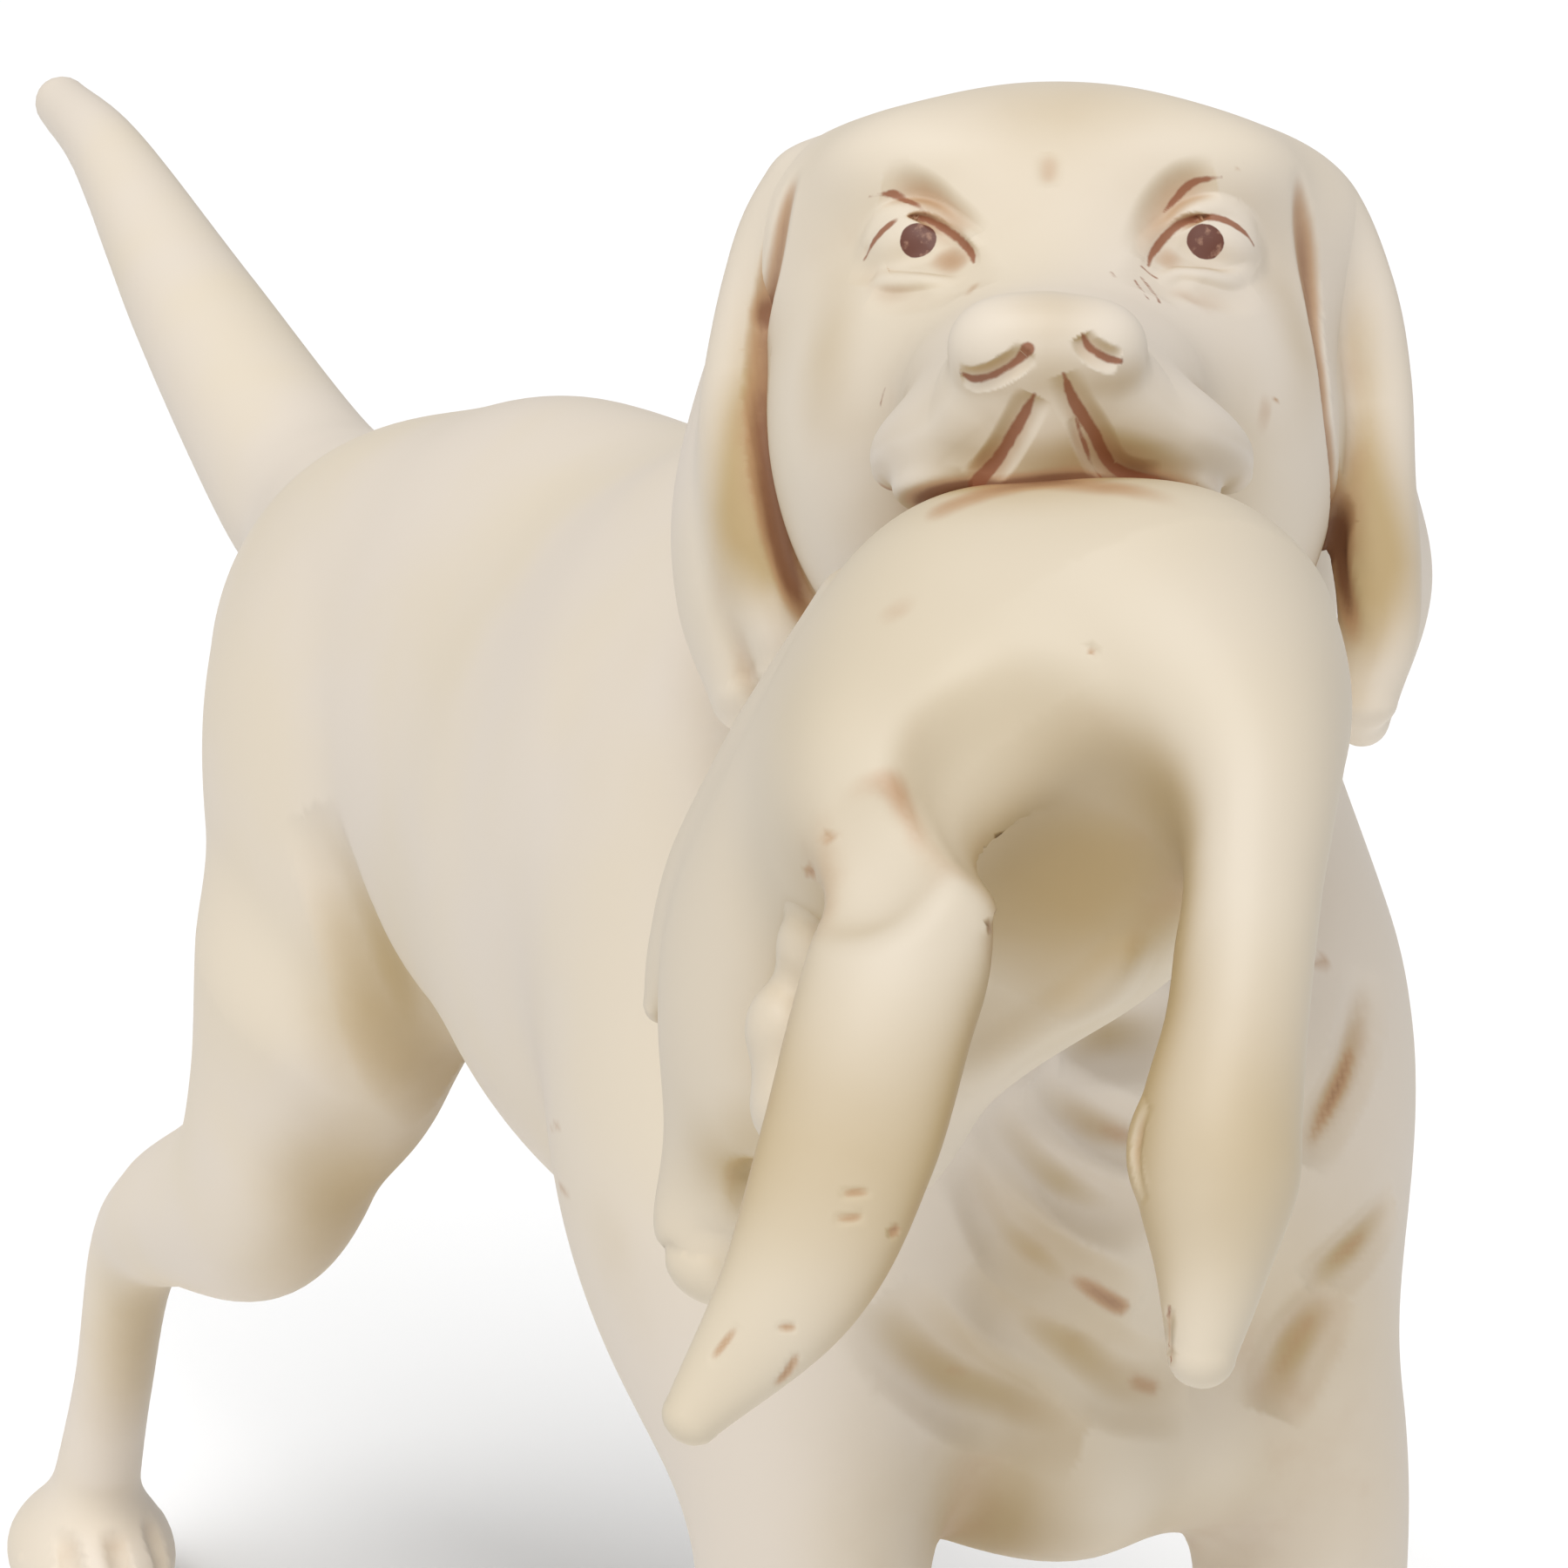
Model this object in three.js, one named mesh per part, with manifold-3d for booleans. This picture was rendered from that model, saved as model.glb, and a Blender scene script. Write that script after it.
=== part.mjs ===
// A porcelain retriever that stands on its four paws and carries a dead duck across its mouth.
// It is made as a pottery makes it: hollow castings of the torso, the head and the duck's body,
// and solid castings of the legs, tail, ears and the duck's loose parts, luted on face to face.
// Millimetres, +Z up, the dog faces -Y, its left side is +X, and its soles stand at Z = 0.
import * as THREE from 'three'
import { mergeVertices } from 'three/addons/utils/BufferGeometryUtils.js'
import Module from 'manifold-3d'

const wasm = await Module()
wasm.setup()

// Fits, walls and the fineness of the facets
const jointGap = 0.3
const nestleGap = 0.6
const bodyWall = 3.2
const duckWall = 2.6
const ventRadius = 3
const shortEdge = 0.45
const openEnd = 4
const castingRoom = 25
const facet = { torso: 8, head: 3.3, flap: 2.7, leg: 4.6, tail: 3.9, duckBody: 4, duckPart: 2.9, foot: 1.8 }
const cavityFacet = { torso: 11, head: 8.2 }

// Torso: half sizes across, along and up, and where each mass lies along the back
const axisHeight = 116
const rib = { y: -20, rise: 1.4, across: 28, along: 50, up: 35 }
const withers = { y: -28, rise: 17, across: 17, along: 24, up: 21.5 }
const brisket = { y: -54, rise: -11, across: 27, along: 24, up: 32 }
const keel = { x: 2, y: -64, rise: -34, across: 9, along: 14, up: 9 }
const keelLeft = { x: 12, y: -64, rise: -34, across: 7, along: 12, up: 8 }
const shoulder = { rightX: 17.5, leftX: 22.8, y: -55, rise: -9, across: 14, along: 20, up: 27 }
const saddle = { y: 12, rise: 12, across: 16, along: 36, up: 24 }
const loin = { y: 30, rise: 3.5, across: 23, along: 40, up: 29 }
const pelvis = { y: 56, rise: 2.5, across: 22, along: 31, up: 26 }
const thigh = { x: 15, across: 11.5, along: 21, up: 28, rightY: 45, leftY: 42, rise: -14 }

// Neck: half widths and half depths from the shoulders to the skull
const neckBase = { x: 1, y: -38, rise: 12, wide: 26, deep: 24 }
const neckMiddle = { x: 1.6, y: -60, rise: 28, wide: 24, deep: 22 }
const neckTop = { wide: 15.5, deep: 18 }

// Legs: heights above the floor and half widths
const elbowHeight = 82
const wristHeight = 36
const pasternHeight = 14
const foreSpread = 20
const foreLeftExtra = 3.6
const foreStand = -69
const forearmHalf = 8.5
const wristHalf = 7
const stifleRight = { x: 19.5, y: 58, z: 68.5 }
const stifleLeft = { x: 21, y: 22, z: 74 }
const hockRight = { x: 22.6, y: 95, z: 48.6 }
const hockLeft = { x: 25, y: 40, z: 47 }
const hindPawRight = { x: 24, y: 112.5 }
const hindPawLeft = { x: 26, y: 25 }
const hockHalf = 5
const hindPasternHalf = 5.2
const paw = { across: 9.8, along: 13, up: 8, sole: 6.3 }

// Tail: centre line and radii
const tailRoot = { y: 78, z: 130.5, r: 11 }
const tailSet = { y: 96, z: 133.6, r: 9.8 }
const tailMiddle = { y: 130, z: 148.4, r: 7.6 }
const tailThin = { y: 162, z: 164, r: 4.7 }
const tailTip = { y: 181.5, z: 169.4, r: 3.4 }

// Head: the middle between the eyes, the turn to the dog's right, the lift, and what hangs on them
const eyes = { x: -18.3, y: -99.6, z: 179.3 }
const headTurn = 31.5
const headLift = 19
const skull = { back: 15, drop: 2.7, across: 17, along: 19, up: 15.6 }
const cheek = { side: 8.6, back: 6, drop: 13, across: 8.3, along: 11, up: 10 }
const brow = { side: 8, back: 4, rise: 5.2, across: 7, along: 6, up: 4 }
const earRoot = { side: 14, back: 15, rise: 4, across: 6, along: 7, up: 5 }
const muzzle = { length: 25, drop: 14.2, half: 6.2, deep: 4.6, middleHalf: 9, middleDeep: 6.3, rootHalf: 10 }
const nose = { reach: 28.5, drop: 12.4, across: 4.9, along: 3, up: 2.9 }
const jaw = { reach: 14, drop: 31, half: 6 }

// Places on the head are side, forward and up from the eyes, and then half width and half thickness
const lips = {
  right: [[-1.6, 25.6, -15.6, 1.7, 1.9], [-3.8, 23.9, -16.5, 2.9, 2.5], [-6.2, 20.9, -16.6, 2.9, 2.7],
    [-8.3, 17, -16.6, 2.3, 2.3], [-9.3, 12.5, -16.8, 1.4, 1.6]],
  left: [[1.8, 25.6, -15.3, 1.7, 1.9], [4.9, 23.9, -16.2, 2.9, 2.5], [7.4, 20.9, -16.2, 2.8, 2.7],
    [9.4, 17, -16.4, 2.1, 2.3], [10.3, 12.5, -16.8, 1.3, 1.6]],
}
const philtrum = [[0.2, 27.4, -13.5, 1.8, 1.7], [0.1, 27.2, -16.2, 2, 1.6], [-0.1, 25.4, -19.3, 3.8, 2]]

// Each ear is a rounded fold along its front edge, with the flap behind it
const earFold = {
  right: [[-17.4, -12, 6.2, 2.6, 2.6], [-20, -13, 1, 2.6, 2.7], [-21.2, -14, -8, 2.6, 2.8],
    [-19.8, -13.5, -16, 2.9, 2.9], [-18.4, -13, -22, 2.7, 2.6], [-18, -13.5, -25.5, 1.7, 1.8]],
  left: [[15.2, -13, 5, 2.4, 2.4], [18.4, -13, 1.2, 2.6, 2.7], [20, -14, -6, 2.6, 2.8],
    [20.4, -14, -14, 2.6, 2.8], [21.2, -14, -22, 2.3, 2.4], [20.6, -15, -27, 1.4, 1.6]],
}
const earFlap = {
  right: [[-17.8, -18, 4.6, 4.4, 2.6], [-21.2, -20, -2, 7, 2.7], [-23.9, -21, -12, 8.2, 2.6],
    [-23.5, -20, -20, 7.4, 2.5], [-21.2, -18.5, -27, 3.6, 2.3]],
  left: [[15.6, -18, 3.8, 4.2, 2.5], [19.8, -20, -2.4, 7, 2.6], [20.6, -21, -10, 8, 2.4],
    [21.9, -20.5, -18, 7.4, 2.6], [20, -18.5, -27.5, 3.4, 2]],
}

// Duck, laid over the lips: half sizes of the body and radii of what hangs from it
const duckBreast = { side: 2.8, reach: -1.5, hang: 12.3, across: 14, along: 12, up: 12.5 }
const duckBelly = { side: -4.5, reach: -6.5, hang: 18.5, across: 13.5, along: 12, up: 13.5 }
const duckShoulder = { side: -3.6, reach: -1, hang: 7.5, across: 7.5, along: 8, up: 7.6 }
const duckRump = { side: -12.8, reach: -12, hang: 28, across: 9.8, along: 9.5, up: 12.5 }
const duckFlank = { side: -9.4, reach: 4.3, hang: 17.6, across: 5.4, along: 8.4, up: 7.6 }
const duckNeck = { start: 9, length: 38, root: 8.5, half: 3.7, head: 4.2, bill: 1.8 }
const nearWing = { start: 14, length: 37, wide: 5, thick: 3.1 }
const farWing = { start: 6, length: 22.5, wide: 7, thick: 2.6 }
const duckTail = { start: 34, length: 10, wide: 5.2, thick: 3.8 }
const webHalf = 2.1

// Frames: world axes, and the head's own side, forward and up directions
const v = (x, y, z) => new THREE.Vector3(x, y, z)
const worldAxes = [v(1, 0, 0), v(0, 1, 0), v(0, 0, 1)]
const turn = THREE.MathUtils.degToRad(headTurn)
const lift = THREE.MathUtils.degToRad(headLift)
const ahead = v(-Math.sin(turn), -Math.cos(turn), 0)
const headSide = v(0, 0, 1).cross(ahead)
const headForward = ahead.clone().multiplyScalar(Math.cos(lift)).add(v(0, 0, Math.sin(lift)))
const headUp = ahead.clone().multiplyScalar(-Math.sin(lift)).add(v(0, 0, Math.cos(lift)))
const headAxes = [headSide, headForward, headUp]
const headCentre = v(eyes.x, eyes.y, eyes.z)

function onHead(side, forward, up) {
  return headCentre.clone()
    .addScaledVector(headSide, side)
    .addScaledVector(headForward, forward)
    .addScaledVector(headUp, up)
}

// The duck hangs from the middle of the lips
const mouth = { forward: muzzle.length, up: -20.7 }

function onDuck(side, forward, hang) {
  return onHead(side, mouth.forward + forward, mouth.up - hang)
}

// Shapes are distances to a surface: negative inside, zero on the glaze, positive outside.
// Each carries the box that it lies in.
function lump(at, half, axes = worldAxes) {
  const [a, b, c] = axes
  const [ha, hb, hc] = half
  const shape = (x, y, z) => {
    const dx = x - at.x
    const dy = y - at.y
    const dz = z - at.z
    const p = (dx * a.x + dy * a.y + dz * a.z) / ha
    const q = (dx * b.x + dy * b.y + dz * b.z) / hb
    const r = (dx * c.x + dy * c.y + dz * c.z) / hc
    const k = Math.sqrt(p * p + q * q + r * r)
    const g = Math.sqrt((p / ha) ** 2 + (q / hb) ** 2 + (r / hc) ** 2)
    return g > 1e-9 ? (k * (k - 1)) / g : -Math.min(ha, hb, hc)
  }
  shape.box = new THREE.Box3(at.clone(), at.clone()).expandByScalar(Math.max(...half))
  return shape
}

// One stretch of a limb, tapering in width and in thickness
function stretch(from, to, wideAxis) {
  const run = to.at.clone().sub(from.at)
  const length = run.length()
  const along = run.clone().normalize()
  const wide = wideAxis.clone().addScaledVector(along, -wideAxis.dot(along)).normalize()
  const thick = along.clone().cross(wide)
  return (x, y, z) => {
    const dx = x - from.at.x
    const dy = y - from.at.y
    const dz = z - from.at.z
    const s = dx * along.x + dy * along.y + dz * along.z
    const t = Math.min(Math.max(s / length, 0), 1)
    const w = from.wide + (to.wide - from.wide) * t
    const n = from.thick + (to.thick - from.thick) * t
    const least = Math.min(w, n)
    const p = ((dx * wide.x + dy * wide.y + dz * wide.z) * least) / w
    const q = ((dx * thick.x + dy * thick.y + dz * thick.z) * least) / n
    const over = s - t * length
    return Math.sqrt(p * p + q * q + over * over) - least
  }
}

// A limb follows a smooth curve through its joints, and its sizes follow one too
function limb(joints, wideAxis = worldAxes[0], stepsPerJoint = 5) {
  const smooth = (points) => new THREE.CatmullRomCurve3(points, false, 'catmullrom', 0.5)
  const path = smooth(joints.map((j) => j.at))
  const sizes = smooth(joints.map((j) => v(j.wide, j.thick, 0)))
  const steps = (joints.length - 1) * stepsPerJoint
  const rows = []
  for (let i = 0; i <= steps; i++) {
    const size = sizes.getPoint(i / steps)
    rows.push({ at: path.getPoint(i / steps), wide: size.x, thick: size.y })
  }
  const parts = []
  for (let i = 0; i < steps; i++) parts.push(stretch(rows[i], rows[i + 1], wideAxis))
  const shape = (x, y, z) => {
    let d = Infinity
    for (const part of parts) d = Math.min(d, part(x, y, z))
    return d
  }
  const thickest = Math.max(...joints.flatMap((j) => [j.wide, j.thick]))
  shape.box = around(...joints.map((j) => j.at)).expandByScalar(thickest)
  return shape
}

const joint = (at, wide, thick = wide) => ({ at, wide, thick })
const around = (...points) => new THREE.Box3().setFromPoints(points)

function smoothMin(a, b, blend) {
  const h = Math.max(blend - Math.abs(a - b), 0) / blend
  return Math.min(a, b) - h * h * blend * 0.25
}

// Clay pieces worked into each other: every entry is a shape and the width of its fillet
function worked(entries) {
  const whole = (x, y, z) => {
    let d = 1e3
    for (const [shape, blend] of entries) d = smoothMin(d, shape(x, y, z), blend)
    return d
  }
  whole.box = reachOf(entries)
  return whole
}

function reachOf(entries, room = 2) {
  const box = new THREE.Box3()
  for (const [shape] of entries) box.union(shape.box)
  return box.expandByScalar(room)
}

// The same shape with its surface moved outwards by a distance
function swollen(shape, by) {
  const moved = (x, y, z) => shape(x, y, z) - by
  moved.box = shape.box.clone().expandByScalar(Math.max(by, 0))
  return moved
}

// Dog
const sides = [-1, 1]
const rise = (part) => axisHeight + part.rise
const mass = (part, x = 0) => lump(v(x, part.y, rise(part)), [part.across, part.along, part.up])

function torsoShapes() {
  const list = [[mass(rib), 10], [mass(withers), 10], [mass(brisket), 12], [mass(saddle), 10], [mass(loin), 12],
    [mass(pelvis), 12]]
  for (const s of sides) list.push([mass(shoulder, s < 0 ? -shoulder.rightX : shoulder.leftX), 10])
  for (const s of sides) {
    const y = s < 0 ? thigh.rightY : thigh.leftY
    list.push([lump(v(s * thigh.x, y, axisHeight + thigh.rise), [thigh.across, thigh.along, thigh.up]), 8])
  }
  list.push([mass(keel, keel.x), 8], [mass(keelLeft, keelLeft.x), 6])
  const nape = onHead(-0.7, -skull.back - 4, -skull.drop - 8)
  list.push([limb([
    joint(v(neckBase.x, neckBase.y, rise(neckBase)), neckBase.wide, neckBase.deep),
    joint(v(neckMiddle.x, neckMiddle.y, rise(neckMiddle)), neckMiddle.wide, neckMiddle.deep),
    joint(nape, neckTop.wide, neckTop.deep),
  ]), 12])
  return list
}

function forelegShapes(s) {
  const x = s * (foreSpread + (s > 0 ? foreLeftExtra : 0))
  const at = (out, forward, z) => v(x - s * out, foreStand + forward, z)
  return [
    [limb([
      joint(at(3, 12, elbowHeight + 22), forearmHalf + 1, forearmHalf + 5.5),
      joint(at(0.5, 3, elbowHeight), forearmHalf, forearmHalf + 3.5),
      joint(at(0, 0, (elbowHeight + wristHeight) / 2 + 3), forearmHalf - 0.9, forearmHalf + 1),
      joint(at(0, 0, wristHeight), wristHalf, wristHalf + 1),
      joint(at(0, -1, pasternHeight), wristHalf, wristHalf + 1),
      joint(at(0, -2, paw.sole + 2.7), wristHalf, wristHalf + 1),
    ]), 7],
    [lump(v(x, foreStand - 6, paw.sole), [paw.across, paw.along, paw.up]), 5],
  ]
}

function hindlegShapes(s, stifle, hock, foot) {
  const x = (part) => s * part.x
  const pasternY = foot.y + (hock.y > foot.y ? 5 : -1)
  const hip = v(s * (thigh.x + 2), s < 0 ? thigh.rightY + 2 : thigh.leftY - 4, axisHeight - 24)
  const knee = v(x(stifle), stifle.y, stifle.z)
  const heel = v(x(hock), hock.y, hock.z)
  const pastern = v(x(foot), pasternY, pasternHeight - 2)
  return [
    [limb([
      joint(hip, thigh.across, thigh.along - 6.5),
      joint(knee, thigh.across - 2.3, thigh.along - 9.2),
      joint(knee.clone().lerp(heel, 0.64).add(v(0, 0, 1.6)), hockHalf + 2.4, hockHalf + 2.8),
      joint(heel, hockHalf, hockHalf + 0.6),
      joint(heel.clone().lerp(pastern, 0.5), hindPasternHalf - 0.8, hindPasternHalf - 0.6),
      joint(pastern, hindPasternHalf, hindPasternHalf + 0.4),
      joint(v(x(foot), pasternY + 1, paw.sole + 2.7), hindPasternHalf + 0.6, hindPasternHalf + 1),
    ]), 6],
    [lump(v(x(foot), foot.y, paw.sole), [paw.across - 0.4, paw.along, paw.up - 0.5]), 5],
  ]
}

function tailShapes() {
  const points = [tailRoot, tailSet, tailMiddle, tailThin, tailTip]
  return [[limb(points.map((p) => joint(v(0, p.y, p.z), p.r))), 6]]
}

function headShapes() {
  const dome = lump(onHead(-0.9, -skull.back, -skull.drop), [skull.across, skull.along, skull.up], headAxes)
  const list = [[dome, 12]]
  for (const s of sides) {
    const part = (p, up) => lump(onHead(s * p.side - 0.5, -p.back, up), [p.across, p.along, p.up], headAxes)
    list.push([part(cheek, -cheek.drop), 8], [part(brow, brow.rise), 5], [part(earRoot, earRoot.rise), 8])
  }
  list.push([lump(onHead(0, -6, 2), [8, 8, 7], headAxes), 6])
  list.push([limb([
    joint(onHead(0, 0, -10), muzzle.rootHalf, muzzle.rootHalf - 1),
    joint(onHead(0, muzzle.length * 0.56, -12.7), muzzle.middleHalf, muzzle.middleDeep),
    joint(onHead(0, muzzle.length, -muzzle.drop), muzzle.half, muzzle.deep),
  ], headSide), 7])
  list.push([lump(onHead(-0.3, nose.reach, -nose.drop), [nose.across, nose.along, nose.up], headAxes), 2])
  list.push([headRoll(lips.right, headUp), 2], [headRoll(lips.left, headUp), 2])
  list.push([headRoll(philtrum, headSide), 1.2])
  list.push([limb([
    joint(onHead(0, -12, -20), jaw.half + 5, jaw.half + 3),
    joint(onHead(0, 2, -(20 + jaw.drop) / 2), jaw.half + 2, jaw.half + 0.5),
    joint(onHead(0, jaw.reach, -jaw.drop), jaw.half, jaw.half - 1.5),
  ], headSide), 8])
  return list
}

function headRoll(rows, wideAxis) {
  const joints = rows.map(([side, forward, up, wide, thick]) => joint(onHead(side, forward, up), wide, thick))
  return limb(joints, wideAxis)
}

function earShape(which, s) {
  const wideAxis = onHeadAxes(0.25 * s, -1, 0)
  return worked([[headRoll(earFold[which], wideAxis), 1], [headRoll(earFlap[which], wideAxis), 2.4]])
}

const hindlegRight = hindlegShapes(-1, stifleRight, hockRight, hindPawRight)
const hindlegLeft = hindlegShapes(1, stifleLeft, hockLeft, hindPawLeft)
const dog = worked([
  ...torsoShapes(),
  ...hindlegRight,
  ...hindlegLeft,
  ...forelegShapes(-1),
  ...forelegShapes(1),
  ...tailShapes(),
  ...headShapes(),
])

// Duck
function duckMass(part) {
  return lump(onDuck(part.side, part.reach, part.hang), [part.across, part.along, part.up], headAxes)
}

// How far down a duck part that much of its length lies
const drop = (part, share) => part.start + part.length * share

function duckNeckShape() {
  const { root, half, head, bill } = duckNeck
  return limb([
    joint(onDuck(7, 2, drop(duckNeck, 0)), root, root),
    joint(onDuck(11, 8, drop(duckNeck, 0.17)), half + 1.7, half + 2.1),
    joint(onDuck(11.3, 12, drop(duckNeck, 0.36)), half + 0.4),
    joint(onDuck(11, 14.5, drop(duckNeck, 0.53)), half),
    joint(onDuck(10.2, 16, drop(duckNeck, 0.68)), head),
    joint(onDuck(10, 16.3, drop(duckNeck, 0.78)), head),
    joint(onDuck(9.8, 16.6, drop(duckNeck, 0.89)), (head + bill) / 2 - 0.1),
    joint(onDuck(9.4, 17, drop(duckNeck, 1)), bill),
  ], headSide)
}

function duckNearWing() {
  const { wide, thick } = nearWing
  return limb([
    joint(onDuck(-2.4, 6, drop(nearWing, 0)), wide - 0.4, thick + 1),
    joint(onDuck(-4.8, 12.5, drop(nearWing, 0.18)), wide, thick + 0.3),
    joint(onDuck(-7.2, 16.5, drop(nearWing, 0.41)), wide - 0.2, thick),
    joint(onDuck(-9, 18, drop(nearWing, 0.62)), wide - 0.4, thick - 0.4),
    joint(onDuck(-11.6, 18.5, drop(nearWing, 0.81)), wide - 1.2, thick - 0.8),
    joint(onDuck(-16.6, 19, drop(nearWing, 1)), wide - 3.4, thick - 1.7),
  ], headSide)
}

function duckFarWing() {
  const { wide, thick } = farWing
  const wideAxis = onHeadAxes(0.4, 1, 0)
  return limb([
    joint(onDuck(-11, -6, drop(farWing, 0)), wide - 2, thick),
    joint(onDuck(-16.2, -9.5, drop(farWing, 0.36)), wide, thick - 0.1),
    joint(onDuck(-20, -12.5, drop(farWing, 0.62)), wide - 1.5, thick - 0.6),
    joint(onDuck(-22, -15, drop(farWing, 0.84)), wide - 3.6, thick - 1),
    joint(onDuck(-23, -16.5, drop(farWing, 1)), wide - 5.6, thick - 1.5),
  ], wideAxis)
}

function duckTailShape() {
  const { wide, thick } = duckTail
  return limb([
    joint(onDuck(-13, -15, drop(duckTail, 0)), wide + 1.8, thick + 2),
    joint(onDuck(-18, -15.5, drop(duckTail, 0.7)), wide, thick),
    joint(onDuck(-19, -15, drop(duckTail, 1)), wide - 2, thick - 1.4),
  ], headSide)
}

function duckFeet() {
  const size = [webHalf, webHalf + 0.2, webHalf + 0.6]
  const web = (side, forward, hang) => lump(onDuck(side, forward, hang), size, headAxes)
  return worked([
    [web(-12.2, 4, 26), 1.5],
    [web(-13.8, 4, 30.5), 1.5],
    [web(-13.4, 4, 34.5), 1.5],
    [limb([joint(onDuck(-8, -4, 24), webHalf), joint(onDuck(-12.2, 3, 28), webHalf - 0.6)]), 1.5],
  ])
}

const duck = worked([
  [duckMass(duckBreast), 6],
  [duckMass(duckShoulder), 5],
  [duckMass(duckBelly), 8],
  [duckMass(duckRump), 8],
  [duckMass(duckFlank), 5],
  [duckNeckShape(), 6],
  [duckNearWing(), 5],
  [duckTailShape(), 5],
])

// Parting planes: a point and the direction that counts as its far side
const plane = (at, towards) => ({ at: at.clone(), n: towards.clone().normalize() })
const flip = (p) => ({ at: p.at.clone(), n: p.n.clone().negate() })
const shifted = (p, by) => ({ at: p.at.clone().addScaledVector(p.n, by), n: p.n.clone() })
const past = (p) => shifted(p, -openEnd)
const distanceTo = (p, x, y, z) => (x - p.at.x) * p.n.x + (y - p.at.y) * p.n.y + (z - p.at.z) * p.n.z

const floor = plane(v(0, 0, 0), v(0, 0, 1))
const neckJoint = plane(v(0, -50, axisHeight + 36), v(0, -0.61, 0.79))
const tailJoint = plane(v(0, tailSet.y - 3, tailSet.z - 1), v(0, 0.93, 0.37))
const hindJoint = plane(v(0, 0, axisHeight - 36), v(0, 0, -1))
const behindForelegs = plane(v(0, -22, 0), v(0, 1, 0))
const armpit = (s) => plane(v(s * 9, foreStand, elbowHeight - 6), v(s * 0.66, 0, -0.75))
const side = (s) => plane(v(0, 0, 0), v(s, 0, 0))
const onHeadAxes = (side, forward, up) => onHead(side, forward, up).sub(headCentre)
const duckFront = plane(onDuck(0, 10.5, 19.5), onHeadAxes(0, 0.85, -0.52))
const duckMiddle = plane(onDuck(1.5, 0, 0), headSide)
const duckVent = plane(onDuck(-16, -15, 38), onHeadAxes(-0.45, 0, -0.89))

// Cell corners are numbered by their bits along X, Y and Z. An edge starts at a corner without its bit.
const corners = [0, 1, 2, 3, 4, 5, 6, 7].map((c) => [c & 1, (c >> 1) & 1, (c >> 2) & 1])
const cellEdges = []
for (const a of [0, 1, 2, 3, 4, 5, 6, 7]) {
  for (const bit of [1, 2, 4]) if (!(a & bit)) cellEdges.push([a, a | bit])
}
const edgeNumber = new Map(cellEdges.map(([a, b], n) => [`${a},${b}`, n]))
const faceEdges = []
for (const bit of [1, 2, 4]) {
  for (const level of [0, bit]) {
    faceEdges.push([...cellEdges.keys()].filter((n) => cellEdges[n].every((c) => (c & bit) === level)))
  }
}

// Groups the crossed edges of a cell into the separate sheets of surface that pass through it
function sheetsOf(inside) {
  const crossed = [...cellEdges.keys()].filter((n) => inside[cellEdges[n][0]] !== inside[cellEdges[n][1]])
  const sheet = new Map(crossed.map((n) => [n, n]))
  const join = (m, n) => {
    const from = sheet.get(m)
    const to = sheet.get(n)
    for (const [key, value] of sheet) if (value === from) sheet.set(key, to)
  }
  for (const face of faceEdges) {
    const cut = face.filter((n) => sheet.has(n))
    if (cut.length === 2) join(cut[0], cut[1])
    if (cut.length < 4) continue
    for (const m of cut) {
      for (const n of cut) {
        const shared = cellEdges[m].find((c) => cellEdges[n].includes(c))
        if (m < n && shared !== undefined && inside[shared]) join(m, n)
      }
    }
  }
  return sheet
}

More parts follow.
